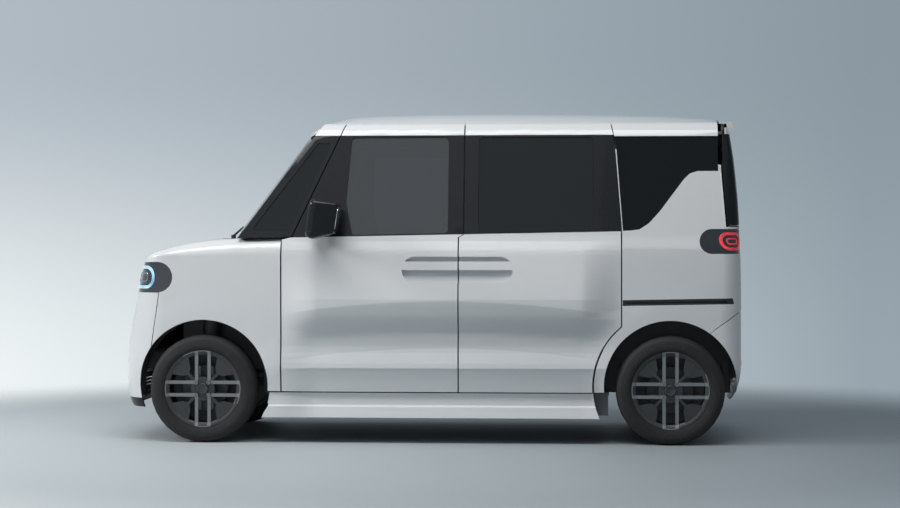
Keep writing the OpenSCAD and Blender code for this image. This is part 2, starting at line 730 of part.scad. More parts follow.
module grille_outline(grow) {
    offset(r = grow) hull() for (y = [-1, 1])
        translate([y * (grille_half_w - 47), (grille_z[0] + grille_z[1]) / 2])
            circle((grille_z[1] - grille_z[0]) / 2, $fn = 32);
}
// Lower air intake: a frame round horizontal bars
grille_bars = 4;
module lower_grille() {
    color("black") intersection() {
        wall_of(nose_front, [for (z = [200, 240, 275, 310, 360]) [z, 0]],
            front_point, depth(8), depth(40));
        along(nose_x - 50, nose_x + 200) {
            difference() {
                grille_outline(0);
                grille_outline(-10);
            }
            intersection() {
                grille_outline(-5);
                for (i = [1:grille_bars]) translate([-grille_half_w,
                    grille_z[0] + i * (grille_z[1] - grille_z[0]) / (grille_bars + 1) - 5])
                        square([2 * grille_half_w, 10]);
            }
        }
    }
}

// Bonnet between the wings, hinged at its rear edge
bonnet_side_y = half_w - 118;
bonnet_crown = 16;
bonnet_bow = 80;
function bonnet_rear(y) = bonnet_rear_x - bonnet_bow * (1 - pow(y / bonnet_side_y, 2));
bonnet_hinge_y = half_w - 307.5;
bonnet_hinge_x = bonnet_rear(bonnet_hinge_y) - 40;
bonnet_front_inset = 228;
function bonnet_top(x, y) = bonnet_z(x) + bonnet_crown * (1 - pow(y / bonnet_side_y, 2));
bonnet_hinge_drop = 34;
bonnet_hinge_z = bonnet_top(bonnet_hinge_x, bonnet_hinge_y) - bonnet_hinge_drop;
function spread(a, b, n) = [for (i = [0:n]) a + (b - a) * i / n];
module bonnet_sheet(near, far) {
    ys = spread(-bonnet_side_y - 40, bonnet_side_y + 40, 12);
    xs = spread(nose_x + 150, bonnet_rear_x + 260, 12);
    sheet([for (y = ys) [for (x = xs) [x, y, bonnet_top(x, y) - near]]],
        [for (y = ys) [for (x = xs) [x, y, bonnet_top(x, y) - far]]]);
}
// The bonnet's outline follows the rolled edge of nose and wings at one gap
module bonnet_outline(inset) {
    edge = [for (s = concat(nose_half, nose_corner, side_stations(front_axle_x - 170, bonnet_rear_x + 40, 3)))
        let (w = s[3] * s[3],
            d = inset_at(s, w * roll_foot_side + (1 - w) * roll_foot_nose) + w * roll_side + (1 - w)
                * roll_nose + inset)
        [s[0] - s[2] * d, s[1] - s[3] * d]];
    past_x = bonnet_rear_x + 400;
    intersection() {
        union() {
            for (m = [0, 1]) mirror([0, m]) polygon(concat([[past_x, 0]], edge,
                [[past_x, edge[len(edge) - 1].y]]));
            translate([nose_x + bonnet_front_inset, -60]) square([big, 120]);
        }
        rear_edge_outline(0, nose_x);
    }
}
// Area between the bonnet's bowed rear edge, moved back by a gap, and a straight line across
module rear_edge_outline(gap, x) {
    ys = spread(-bonnet_side_y, bonnet_side_y, 12);
    polygon(concat([for (y = ys) [bonnet_rear(y) + gap, y]], [[x, bonnet_side_y], [x, -bonnet_side_y]]));
}
module bonnet() {
    color("whitesmoke") difference() {
        union() {
            intersection() {
                bonnet_sheet(0, bonnet_thick);
                linear_extrude(1400) bonnet_outline(shut_gap - 2);
            }
            for (s = [-1, 1], end = [-1, 1]) translate([bonnet_hinge_x, s * bonnet_hinge_y + end * 28,
                bonnet_hinge_z]) {
                cross_rod(leaf_half + 1, lug_h);
                translate([-leaf_half - 1, -lug_h / 2, 0])
                    cube([2 * leaf_half + 2, lug_h, bonnet_hinge_drop - bonnet_thick + 6]);
            }
        }
        for (s = [-1, 1]) translate([bonnet_hinge_x, s * bonnet_hinge_y, bonnet_hinge_z])
            cross_rod(pin_r + pin_play, 100);
    }
}

// Windscreen: a bowed pane leaning back from the cowl to the roof
screen_bow_r = 2010;
screen_foot = [screen_base_x - 95, belt_z + 2];
screen_head_z = window_top_z + 12;
screen_thick = 6;
function screen_point(y, z, t) = [screen_foot.x + (z - screen_foot.y)
    * screen_lean + y * y / (2 * screen_bow_r)
    + t * cos(atan(screen_lean)), y, z - t * sin(atan(screen_lean))];
module screen_sheet(near, far) {
    screen_half = half_w - 37.5;
    ys = spread(-screen_half, screen_half, 14);
    zs = spread(screen_foot.y - 80, screen_head_z + 60, 3);
    sheet([for (y = ys) [for (z = zs) screen_point(y, z, near)]],
        [for (y = ys) [for (z = zs) screen_point(y, z, far)]]);
}
// Clear width between the front pillars, in the front view
module screen_outline(inset) {
    foot_y = half_w - through(SECTION, belt_z + 20, 1) - 68 - inset;
    head_y = half_w - through(SECTION, window_top_z, 1) - 60 - inset;
    polygon([[-foot_y, screen_foot.y + 22 + inset], [foot_y, screen_foot.y + 22 + inset],
        [head_y, screen_head_z - 18 - inset], [-head_y, screen_head_z - 18 - inset]]);
}
module windscreen() {
    color("slategray") intersection() {
        screen_sheet(0, screen_thick);
        along(-big / 2, 0) screen_outline(seat_gap);
    }
}
// Black cowl between bonnet and windscreen, carrying the bonnet's hinge leaves
cowl_drop = 26;
cowl_deep = 60;
cowl_gap = 36;
gutter_drop = 40;
module cowl_panel() {
    color("black") {
        cowl_layer(cowl_drop, cowl_gap);
        cowl_layer(cowl_drop + gutter_drop, 2 * shut_gap);
        difference() {
            intersection() {
                screen_sheet(screen_thick + seat_gap, screen_thick + 26);
                along(-big / 2, 0) translate([-bonnet_side_y + 14, screen_foot.y - 36])
                    square([2 * bonnet_side_y - 28, 86]);
            }
            for (s = WIPERS) translate(wiper_pivot(s)) cylinder(r = post_r + post_play, h = 80, $fn = 24);
        }
    }
}

// A layer of the cowl below the bonnet's surface, starting at a gap behind the bonnet
module cowl_layer(drop, gap) {
    intersection() {
        bonnet_sheet(drop, cowl_drop + cowl_deep - seat_gap);
        linear_extrude(1400) intersection() {
            rear_edge_outline(gap, bonnet_rear_x + 110);
            translate([nose_x, -bonnet_side_y + 14]) square([big, 2 * bonnet_side_y - 28]);
        }
    }
}

// Roof: a crowned sheet between the roof edges, from the windscreen to the tailgate
edge_end = 84;
edge_top_z = edge_z + roof_edge_r * sin(edge_end);
min_crown = 48;
roof_crown_power = 2.2;
roof_side_gap = 6;
function roof_edge_y(x) = let (s = side_station(x)) s[1] - edge_inset(s) + roof_edge_r * cos(edge_end);
function roof_top(x, y) = let (c = roof_line_z(x))
    c - max(min_crown * ease((gate_x - 300 - x) / 900), c - edge_top_z)
        * pow(abs(y) / roof_edge_y(x), roof_crown_power);
roof_steps = [0, 0.012, 0.03, 0.055, 0.085, 0.12, 0.18, 0.3, 0.45, 0.6, 0.75, 0.88, 0.97, 0.985, 1];
function roof_x(v, step, back) = let (x0 = screen_point(v * roof_edge_y(-500), screen_head_z, 0).x + 6)
    x0 + (back - x0) * step;
module roof_sheet(near, far, steps, back, side) {
    vs = spread(-1, 1, 12);
    grid = function (t) [for (v = vs) [for (w = steps) let (x = roof_x(v, w, back),
        y = v * (roof_edge_y(x) - side))
        [x, y, roof_top(x, y) - t(w)]]];
    sheet(grid(near), grid(far));
}
module roof_panel() {
    color("whitesmoke") roof_sheet(function (w) 0, function (w) w > 0.98 ? fender_thick : roof_thick,
        roof_steps,
        gate_x - g, roof_side_gap);
}

// Box frame behind the panels: pillars, sills and rails of each side, joined by the roof's cross bars
sill_top_z = 300;
pillar_front = 104;
wing_rail_z = [900, 958];
frame_rows = [for (r = SIDE_ROWS) if (r[1] == 0 && r[0] > door_bottom_z - 10) r];
frame_top_z = window_top_z - 9;
module frame_outline() {
    difference() {
        union() {
            slab(hinge_x - pillar_front, hinge_x + 45, sill_top_z, belt_z - 20);
            slab(hinge_x - pillar_front, door_rear_x + 60, sill_top_z, sill_top_z + 90);
            slab(split_x - 34, split_top_x + 52, sill_top_z, frame_top_z);
            slab(door_rear_x - 90, door_rear_x + 46, sill_top_z, frame_top_z);
            slab(door_rear_x - 90, tail_x - 165, 620, belt_z - 30);
            slab(tail_x - 260, tail_x - 165, 620, frame_top_z);
            slab(screen_x(window_top_z - 60) + 50, tail_x - 165, frame_top_z - 50, frame_top_z);
            polygon([[door_front_x + 6, belt_z - 60], [door_front_x + 6, belt_z + 12],
                [screen_x(belt_z + 12) + 66, belt_z + 12],
                [screen_x(frame_top_z) + 26, frame_top_z], [frame_x(frame_top_z) + 40, frame_top_z],
                [frame_x(belt_z) + 40, belt_z - 60]]);
        }
        quarter_light(0);
        arch_disc(rear_axle_x, arch_r + 30);
    }
}
module body_frame() {
    color("silver") {
        both_sides() {
            intersection() {
                wall_of(side_stations(hinge_x - 260, tail_x - 150, 8), frame_rows, side_point, rail_near,
                    rail_far);
                right_side() frame_outline();
            }
            // upper rail that carries the front wing
            intersection() {
                wall_of(concat(nose_corner, side_stations(front_axle_x - 170, door_front_x + 20, 4)),
                    [for (z = [wing_rail_z[0] - 20, wing_rail_z[1] + 20]) [z, 0]], front_point,
                    depth(fender_thick + seat_gap), depth(180));
                right_side() slab(head_rear_x + 10, door_front_x - 16, wing_rail_z[0], wing_rail_z[1]);
            }
            intersection() {
                wall_of(side_stations(hinge_x - 200, hinge_x + 60, 1), [[880, 0], [970, 0]], side_point,
                    depth(120), depth(180));
                right_side() slab(hinge_x - 160, hinge_x, wing_rail_z[0], wing_rail_z[1]);
            }
        }
        intersection() {
            roof_sheet(function (w) roof_thick + seat_gap, function (w) roof_thick + 84, roof_steps,
                gate_x - g, roof_side_gap);
            linear_extrude(big) roof_frame_outline();
        }
    }
}
module roof_frame_outline() {
    front = screen_x(window_top_z) + 60;
    rail_w = 200;
    for (y = [rocker_y[1] - rail_w, -rocker_y[1]]) translate([front, y])
        square([gate_x - front - 20, rail_w]);
    for (x = [front, split_x, gate_x - 90]) translate([x, -lamp_inner_y]) square([70, 2 * lamp_inner_y]);
}

// Floor: pan, rockers, bulkhead, front and rear members with their bumper beams
floor_z = 250;
floor_thick = 25;
floor_top = floor_z + floor_thick;
floor_half_w = half_w - 212.5;
rocker_y = [half_w - 197.5, half_w - 97.5];
beam_half_w = half_w - 267.5;
rocker_foot = 150;
bulkhead_x = hinge_x - 150;
kick_x = door_rear_x - 90;
rear_floor_z = 400;
member_y = [half_w - 407.5, half_w - 337.5];
member_z = [380, 470];
hinge_pad_z = 1030;
apron_thick = 6;
toe_z = 640;
toe_y = half_w - 267.5;
toe_back = 45;
lash_l = 90;
rear_member_z = rear_floor_z + floor_thick - lash_l;
lash_r = 15;
lash_x = [front_axle_x - 220, tail_x - 200];
module floor_pan() {
    color("dimgray") difference() {
        floor_solid();
        for (x = lash_x, s = [-1, 1])
            translate([x, s * (member_y[0] + member_y[1]) / 2, rear_member_z - 10])
                rod(lash_r, member_z[1] - rear_member_z + 50);
    }
}
module floor_solid() {
    union() {
        for (b = [
            [bulkhead_x, kick_x + floor_thick, floor_z, floor_top],
            [kick_x, kick_x + floor_thick, floor_z, rear_floor_z + floor_thick],
            [kick_x, tail_x - 120, rear_floor_z, rear_floor_z + floor_thick],
            [bulkhead_x - floor_thick, bulkhead_x + tiny, toe_z, hinge_pad_z],
            [bulkhead_x - floor_thick, bulkhead_x + toe_back, toe_z, toe_z + floor_thick]])
            across(-floor_half_w, floor_half_w) slab(b[0], b[1], b[2], b[3]);
        // the lower bulkhead steps back beside the steered wheels
        across(-toe_y, toe_y) slab(bulkhead_x - floor_thick, bulkhead_x, floor_z, toe_z + floor_thick);
        for (s = [-1, 1]) scale([1, s, 1]) {
            translate([bulkhead_x - floor_thick, toe_y - 15, floor_z])
                cube([toe_back + floor_thick, 15, toe_z + floor_thick - floor_z]);
            translate([bulkhead_x + toe_back - floor_thick, toe_y - 15, floor_z])
                cube([floor_thick, floor_half_w - toe_y + 15, toe_z + floor_thick - floor_z]);
            translate([hinge_x - pillar_front, rocker_y[0], rocker_foot])
                cube([kick_x + 20 - hinge_x + pillar_front, rocker_y[1] - rocker_y[0],
                    door_bottom_z - shut_gap - rocker_foot]);
            translate([hinge_x - pillar_front, floor_half_w - 10, floor_z])
                cube([kick_x - hinge_x + pillar_front, rocker_y[0] + 40 - floor_half_w,
                    sill_top_z - floor_z]);
            translate([hinge_x - pillar_front, floor_half_w - 10, floor_z])
                cube([kick_x - hinge_x + pillar_front, 60, floor_thick]);
            translate([nose_x + 70, member_y[0], member_z[0]])
                cube([bulkhead_x - nose_x - 70, member_y[1] - member_y[0], member_z[1] - member_z[0]]);
            translate([head_rear_x, member_y[1] - apron_thick, member_z[1] - tiny])
                cube([bulkhead_x - head_rear_x, apron_thick, wing_rail_z[0] - member_z[1]]);
            translate([tail_x - 300, member_y[0], rear_member_z])
                cube([250, member_y[1] - member_y[0], lash_l]);
            translate([bonnet_hinge_x - 24, bonnet_hinge_y - 30, hinge_pad_z - 60]) cube([50, 60, 60]);
        }
        // beams behind the bumper covers and the cowl's shelf
        intersection() {
            wall_of(nose_front, [[380, 0], [425, 0], [470, 0]],
                front_point, depth(bumper_thick + seat_gap), depth(90));
            across(-beam_half_w, beam_half_w) slab(nose_x, nose_x + 300, member_z[0] + 5, member_z[1] - 5);
        }
        intersection() {
            wall_of(gate_stations, rear_rows, side_point, depth(bumper_thick + seat_gap), depth(80));
            across(-beam_half_w, beam_half_w) slab(tail_x - 300, tail_x, rear_member_z + 10,
                rear_floor_z + 60);
        }
        intersection() {
            bonnet_sheet(cowl_drop + cowl_deep, cowl_drop + cowl_deep + 24);
            translate([bonnet_hinge_x - 30, -lamp_inner_y, 800])
                cube([bulkhead_x - bonnet_hinge_x + 28, 2 * lamp_inner_y, 600]);
        }
    }
}
battery_foot = 152;
module battery_pack() {
    color("gray") translate([hinge_x + 40, 45 - floor_half_w, battery_foot])
        cube([kick_x - hinge_x - 120, 2 * floor_half_w - 90, floor_z - battery_foot]);
}
subframe_z = [190, 240];
module drive_motor() {
    color("silver") translate([front_axle_x - 130, 100 - member_y[0], subframe_z[1]])
        cube([250, 2 * member_y[0] - 200, 300]);
}

// Rear bumper cover, wrapped round the tail to the wheel arches
rear_bumper_z = 214;
rear_rows = [for (z = [200, 240, 290, 340, 400, 480, 600, 720]) [z, 0]];
tail_stations = concat(side_stations(tail_x - 260, tail_x - 135, 2), tail_corner, tail_half);
gate_stations = concat(tail_stations, other_side([for (i = [0:len(tail_stations) - 2]) tail_stations[i]]));
module rear_bumper() {
    color("whitesmoke") intersection() {
        wall_of(gate_stations, rear_rows, side_point, depth(0), depth(bumper_thick));
        across(-1000, 1000) difference() {
            polygon(concat([[tail_x - 230, rear_bumper_z], [tail_x - 230, 560]],
                [for (p = bumper_seam) p - [0, pg]], [[tail_x + 60, rear_bumper_z]]));
            arch_disc(rear_axle_x, arch_r);
        }
    }
}

// Tailgate: lower panel, window frame and roof lip, hinged under the roof's rear edge
gate_half_w = half_w - 133.5;
gate_notch_w = lamp_inner_y - shut_gap;
gate_foot_z = bumper_seam[2].y + shut_gap;
gate_split_z = lamp_z + lamp_half_h + shut_gap;
gate_hinge_x = gate_x + g + 26;
gate_hinge_y = half_w - 357.5;
gate_hinge_z = roof_top(gate_hinge_x, gate_hinge_y) - 20;
gate_glass_t = 8;
glass_overhang = 14;
lip_x = tail_x - 56;
lip_deep = 60;
gate_lip_x = gate_hinge_x + leaf_half + shut_gap;
gate_arm_y = gate_hinge_y + 60;
gate_arm_z = window_top_z - 25;
gate_rows = [for (z = [690, 760, 870, 969, 1034, belt_z, gate_split_z + 30]) [z, 0]];
gate_upper_rows = concat([for (i = [0:4]) UPPER[i]], [for (z = [-45, 0, 45]) [window_top_z + z, 0]]);
gate_wrap_z = gate_side[0].y + shut_gap;
module gate_side_outline(gap) {
    polygon(concat([[tail_x + 100, belt_z + 4], [gate_side[0].x + gap, belt_z + 4]],
        [for (p = gate_side) p + [gap, 0]],
        [[gate_x + 10 + gap, window_top_z + 41], [tail_x + 100, window_top_z + 41]]));
}
module rear_window_outline() {
    foot_y = lamp_inner_y;
    head_y = foot_y - 40;
    rounded(30) polygon([[-foot_y, gate_split_z + 40], [foot_y, gate_split_z + 40],
        [head_y, window_top_z - 30], [-head_y, window_top_z - 30]]);
}
module roof_lip(front, thick) {
    vs = spread(-1, 1, 12);
    xs = spread(front, lip_x, 4);
    sheet([for (v = vs) [for (x = xs) let (y = v * (roof_edge_y(x) + 14)) [x, y, roof_top(x, y)]]],
        [for (v = vs) [for (x = xs) let (y = v * (roof_edge_y(x) + 14)) [x, y, roof_top(x, y) - thick]]]);
}
module tailgate() {
    color("whitesmoke") difference() {
        union() {
            intersection() {
                wall_of([for (i = [5:len(gate_stations) - 6]) gate_stations[i]], gate_rows, side_point,
                    depth(0), depth(58));
                along(tail_x - 400, tail_x + 50) {
                    translate([-gate_half_w, gate_foot_z])
                        square([2 * gate_half_w, lamp_z - lamp_half_h - shut_gap - gate_foot_z]);
                    translate([-gate_notch_w, gate_foot_z])
                        square([2 * gate_notch_w, gate_split_z + 12 - gate_foot_z]);
                }
            }
            difference() {
                intersection() {
                    wall_of(gate_stations, gate_upper_rows, side_point, depth(gate_glass_t + 4 * seat_gap),
                        depth(52));
                    across(-1000, 1000) gate_side_outline(g + glass_overhang);
                    along(tail_x - 400, tail_x + 50) difference() {
                        union() {
                            translate([-big / 2, gate_wrap_z]) square([big, big]);
                            translate([-gate_notch_w, belt_z + 8]) square([2 * gate_notch_w, 100]);
                        }
                        rear_window_outline();
                    }
                }
                // clear of the hinge arms
                translate([gate_x - 50, -gate_arm_y, gate_arm_z])
                    cube([gate_lip_x - gate_x + 50, 2 * gate_arm_y, 200]);
            }
            roof_lip(gate_x + g, flange_thick);
            roof_lip(gate_lip_x, lip_deep);
            for (s = [-1, 1], end = [-1, 1]) translate([gate_hinge_x, s * gate_hinge_y + end * 28,
                gate_hinge_z]) {
                cross_rod(leaf_half + 1, lug_h);
                translate([0, -lug_h / 2, -leaf_half - 1])
                    cube([leaf_half + shut_gap + 10, lug_h, 2 * leaf_half + 2]);
            }
        }
        for (s = [-1, 1]) translate([gate_hinge_x, s * gate_hinge_y, gate_hinge_z])
            cross_rod(pin_r + pin_play, 100);
    }
}
module tailgate_glass() {
    color("dimgray") intersection() {
        wall_of(gate_stations, gate_upper_rows, side_point, depth(0), depth(gate_glass_t));
        across(-1000, 1000) difference() {
            gate_side_outline(g);
            slab(tail_x - 300, tail_x + 200, 0, gate_wrap_z + 3);
            slab(tail_x - 300, tail_x + 200, window_top_z + 6, big);
        }
    }
}

// Drop of the tailgate's hinge arms below the pins
gate_arm_drop = 52;
// Hinge leaves with their pins: two for each front door, two for the bonnet, two for the tailgate
module hinge_leaves() {
    color("silver") both_sides() {
        for (z = hinge_z) door_leaf(z);
        translate([bonnet_hinge_x, bonnet_hinge_y, bonnet_hinge_z]) {
            cross_pin();
            translate([-leaf_half, -leaf_h / 2, hinge_pad_z + seat_gap - bonnet_hinge_z])
                cube([2 * leaf_half, leaf_h, bonnet_hinge_z - hinge_pad_z - seat_gap]);
        }
        translate([gate_hinge_x, gate_hinge_y, gate_hinge_z]) {
            cross_pin();
            translate([-leaf_half, -leaf_h / 2, -gate_arm_drop]) cube([2 * leaf_half, leaf_h, gate_arm_drop]);
            translate([gate_x - 20 - gate_hinge_x, -leaf_h / 2, -gate_arm_drop])
                cube([gate_hinge_x - gate_x + 20, leaf_h, 2 * leaf_half]);
        }
    }
}
module cross_pin() {
    cross_rod(leaf_half, leaf_h);
    cross_rod(pin_r, leaf_h + 2 * lug_h);
}

// Wipers: an arm and a blade each, on pivots in the cowl
wiper_y = half_w - 317.5;
wiper_l = wiper_y + 10;
post_r = 13;
post_play = 6;
WIPERS = [-1, 0.25];
// foot of a wiper's post on the highest point of the cowl under it
function wiper_pivot(s) = let (y0 = s * wiper_y, x0 = bonnet_rear(y0) + cowl_gap + 22)
    [x0, y0, max([for (x = [-1, 1], y = [-1, 1]) bonnet_top(x0 + x * post_r, y0 + y * post_r)])
        - cowl_drop + seat_gap];
module wipers() {
    color("black") for (s = WIPERS) {
        translate(wiper_pivot(s)) cylinder(r = post_r, h = 40, $fn = 24);
        hull() {
            translate(wiper_pivot(s) + [0, 0, 34]) sphere(7, $fn = 12);
            translate(screen_point(s * wiper_y + wiper_l, screen_foot.y + 34, -30)) sphere(5, $fn = 12);
        }
    }
}

// Wheel arch liners: a half barrel over each wheel, seated inside the panels
liner_thick = 4;
liner_deep = 165;
liner_y = half_w - 196.5;
liner_r = arch_r + 2;
module arch_liners() {
    color("black") both_sides() {
        intersection() {
            wall_of(concat(nose_corner, side_stations(front_axle_x - 170, door_front_x - 20, 4)), LINER,
                front_point,
                depth(bumper_thick + 3 * seat_gap), depth(liner_deep));
            right_side() liner_outline(front_axle_x, arch_z - 60);
        }
        across(liner_y, tail_panel_y + pg - seat_gap) liner_outline(rear_axle_x, arch_z + 20);
        across(liner_y, liner_y + liner_thick) intersection() {
            arch_disc(rear_axle_x, liner_r + 1);
            slab(rear_axle_x - 500, tail_x - 60, rear_floor_z + floor_thick, 1000);
        }
    }
}
LINER = [for (r = FRONT) if (r[0] <= 700) r];
module liner_outline(x, foot) {
    intersection() {
        difference() {
            arch_disc(x, liner_r + liner_thick);
            arch_disc(x, liner_r);
        }
        slab(x - 500, min(x + 500, tail_x - 62), foot, 1000);
    }
}

// Front axle: subframe, two arms a side with ball joint eyes, and spring struts
kingpin_y = track / 2 - kingpin_offset;
arm_z = [[196, 220], [362, 386]];
kingpin_r = 13;
eye_r = 24;
strut_y = half_w - 282.5;
module front_suspension() {
    color("dimgray") {
        translate([front_axle_x - 110, -member_y[0], subframe_z[0]])
            cube([210, 2 * member_y[0], subframe_z[1] - subframe_z[0]]);
        for (s = [-1, 1]) scale([1, s, 1]) {
            translate([front_axle_x - 90, member_y[0] - tiny, subframe_z[0]])
                cube([170, 60, member_z[0] - subframe_z[0]]);
            translate([front_axle_x - 80, member_y[0], arm_z[0][0]])
                cube([150, 90, arm_z[0][1] - arm_z[0][0]]);
            difference() {
                union() {
                    for (z = arm_z) translate([0, 0, z[0]]) linear_extrude(z[1] - z[0]) {
                        translate([front_axle_x, kingpin_y]) circle(eye_r, $fn = curve_fn);
                        polygon([[front_axle_x - 85, member_y[1] + seat_gap],
                            [front_axle_x + 75, member_y[1] + seat_gap],
                            [front_axle_x + 20, kingpin_y], [front_axle_x - 20, kingpin_y]]);
                    }
                }
                translate([front_axle_x, kingpin_y, 0]) rod(kingpin_r + stub_play, 600);
            }
            translate([front_axle_x, strut_y, arm_z[0][1] - tiny])
                rod(20, arm_z[1][0] - arm_z[0][1] + 2 * tiny);
            translate([front_axle_x, strut_y, arm_z[1][1] - tiny]) rod(22, 300);
            translate([front_axle_x, strut_y, 560]) rod(48, 320);
            translate([front_axle_x - 60, member_y[1] + 2, 880]) cube([120, 230, wing_rail_z[0] - 880]);
        }
    }
}
upright_half = 30;
module knuckle() {
    color("gray") {
        translate([front_axle_x - upright_half, kingpin_y - 22, arm_z[0][1] + lug_play])
            cube([2 * upright_half, 38, arm_z[1][0] - arm_z[0][1] - 2 * lug_play]);
        translate([front_axle_x, kingpin_y, arm_z[0][0]]) rod(kingpin_r, arm_z[1][1] - arm_z[0][0]);
        translate([front_axle_x, kingpin_y, axle_z]) rotate([-90, 0, 0]) rod(stub_r, stub_end_y - kingpin_y);
        translate([front_axle_x + upright_half - tiny, kingpin_y - 22, axle_z - 12]) cube([90, 20, 24]);
    }
}
module knuckle_left() { mirror([0, 1, 0]) knuckle(); }
module knuckle_right() { knuckle(); }

// Rear axle: trailing arms on hangers below the floor, a cross beam, springs and stub axles
trail = 310;
trail_y = half_w - 307.5;
stub_end_y = track / 2 + 40;
module rear_axle() {
    color("dimgray") {
        translate([rear_axle_x - trail + 90, -beam_half_w, axle_z - 25]) cube([70, 2 * beam_half_w, 50]);
        for (s = [-1, 1]) scale([1, s, 1]) translate([rear_axle_x, trail_y, axle_z]) {
            translate([-trail, 0, -25]) cube([trail + 45, 60, 50]);
            translate([-trail, 10, 0]) cube([60, 40, rear_floor_z - axle_z]);
            rotate([-90, 0, 0]) {
                translate([0, 0, 50]) rod(stub_r + 12, 70);
                translate([0, 0, 50]) rod(stub_r, stub_end_y - trail_y - 50);
            }
            translate([-90, 25, 0]) rod(45, rear_floor_z - axle_z);
        }
    }
}

// Wheel: barrel with flanges, hub with brake disc, four pairs of spokes and corner gussets
bead_r = rim_d / 2;
flange_r = bead_r + 15;
barrel_t = 8;
face_y = rim_w / 2 - 20;
hub_r = 42;
spoke_gap = 34;
spoke_w = 18;
module rim_solid() {
    color("dimgray") rotate([-90, 0, 0]) difference() {
        union() {
            rotate_extrude($fn = 96) polygon([
                [bead_r - barrel_t, -rim_w / 2], [bead_r - barrel_t, rim_w / 2],
                    [flange_r - 5, rim_w / 2 + 8],
                [flange_r, rim_w / 2 + 8], [flange_r, rim_w / 2], [bead_r - seat_gap, rim_w / 2 - 4],
                [bead_r - seat_gap, rim_w / 2 - 26], [bead_r - 6 + seat_gap, rim_w / 2 - 40],
                [bead_r - 6 + seat_gap, -rim_w / 2 + 40], [bead_r - seat_gap, -rim_w / 2 + 26],
                    [bead_r - seat_gap, -rim_w / 2 + 4],
                [flange_r, -rim_w / 2], [flange_r, -rim_w / 2 - 6], [flange_r - 5, -rim_w / 2 - 6]]);
            translate([0, 0, face_y]) linear_extrude(22) intersection() {
                circle(bead_r - barrel_t + 2, $fn = 96);
                union() {
                    circle(hub_r + 22, $fn = 64);
                    for (a = [0:90:270]) rotate(a) for (s = [-1, 1])
                        translate([0, s * spoke_gap - spoke_w / 2]) square([bead_r, spoke_w]);
                    for (a = [45:90:315]) rotate(a) polygon([[40, -8], [112, -8], [126, -30],
                        [bead_r - 22, -60],
                        [bead_r, -60], [bead_r, 60], [bead_r - 22, 60], [126, 30], [112, 8], [40, 8]]);
                }
            }
            translate([0, 0, -38]) cylinder(r = hub_r, h = face_y + 38 + tiny, $fn = 64);
            translate([0, 0, -22]) cylinder(r = 122, h = 12, $fn = 64);
        }
        translate([0, 0, -100]) rod(stub_r + stub_play, 100 + 41);
    }
}
tread_w = tyre_w - 36;
module tyre_solid() {
    r = tyre_d / 2;
    color("black") rotate([-90, 0, 0]) rotate_extrude($fn = 72) polygon([
        [bead_r, -rim_w / 2 + 5], [flange_r + seat_gap + 1, -rim_w / 2 + 5],
            [flange_r + seat_gap + 1, -rim_w / 2 - 8], [r - 48, -tyre_w / 2], [r - 24, -tyre_w / 2 + 5],
        [r - 8, -tread_w / 2], [r, -tread_w / 2 + 18], [r, tread_w / 2 - 18], [r - 8, tread_w / 2],
        [r - 24, tyre_w / 2 - 5], [r - 48, tyre_w / 2], [flange_r + seat_gap + 1, rim_w / 2 + 10],
            [flange_r + seat_gap + 1, rim_w / 2 - 5],
        [bead_r, rim_w / 2 - 5], [bead_r, rim_w / 2 - 24], [bead_r + 16, rim_w / 2 - 26],
            [r - 30, tyre_w / 2 - 24], [r - 14, tread_w / 2 - 10],
        [r - 14, -tread_w / 2 + 10], [r - 30, -tyre_w / 2 + 24], [bead_r + 16, -rim_w / 2 + 26],
            [bead_r, -rim_w / 2 + 24]]);
}
module at_wheel(x, side) {
    mirror([0, side < 0 ? 1 : 0, 0]) translate([x, track / 2, axle_z]) children();
}
module rim_front_left() { at_wheel(front_axle_x, -1) rim_solid(); }
module rim_front_right() { at_wheel(front_axle_x, 1) rim_solid(); }
module rim_rear_left() { at_wheel(rear_axle_x, -1) rim_solid(); }
module rim_rear_right() { at_wheel(rear_axle_x, 1) rim_solid(); }
module tyre_front_left() { at_wheel(front_axle_x, -1) tyre_solid(); }
module tyre_front_right() { at_wheel(front_axle_x, 1) tyre_solid(); }
module tyre_rear_left() { at_wheel(rear_axle_x, -1) tyre_solid(); }
module tyre_rear_right() { at_wheel(rear_axle_x, 1) tyre_solid(); }

// Cabin: dashboard on the bulkhead, steering wheel, two front seats and a rear bench
dash_back_x = bulkhead_x + 330;
wheel_x = dash_back_x + 110;
seat_y = 0.407 * half_w;
seat_w = 0.637 * half_w;
driver_y = 1.1 * seat_y;
dash_half_w = half_w - 207.5;
wheel_z = 950;
wheel_lean = 66;
column_r = 24;
module dashboard() {
    color("darkslategray") difference() {
        across(-dash_half_w, dash_half_w) rounded(20) polygon([[bulkhead_x + seat_gap, 690],
            [bulkhead_x + seat_gap, 1010], [bulkhead_x + 120, 1045],
            [dash_back_x - 40, 1030], [dash_back_x, 960], [dash_back_x - 90, 700]]);
        column(column_r + seat_gap);
    }
}
module column(r) {
    translate([wheel_x, driver_y, wheel_z]) rotate([0, wheel_lean, 0]) translate([0, 0, -260]) rod(r, 260);
}
module steering_wheel() {
    color("black") {
        column(column_r);
        translate([wheel_x, driver_y, wheel_z]) rotate([0, wheel_lean, 0]) {
            rotate_extrude($fn = 64) translate([175, 0]) circle(14, $fn = 24);
            translate([0, 0, -30]) cylinder(r = 62, h = 40, $fn = 48);
            for (a = [0, 120, 240]) rotate(a + 90) translate([40, -18, -9]) cube([132, 36, 14]);
        }
    }
}
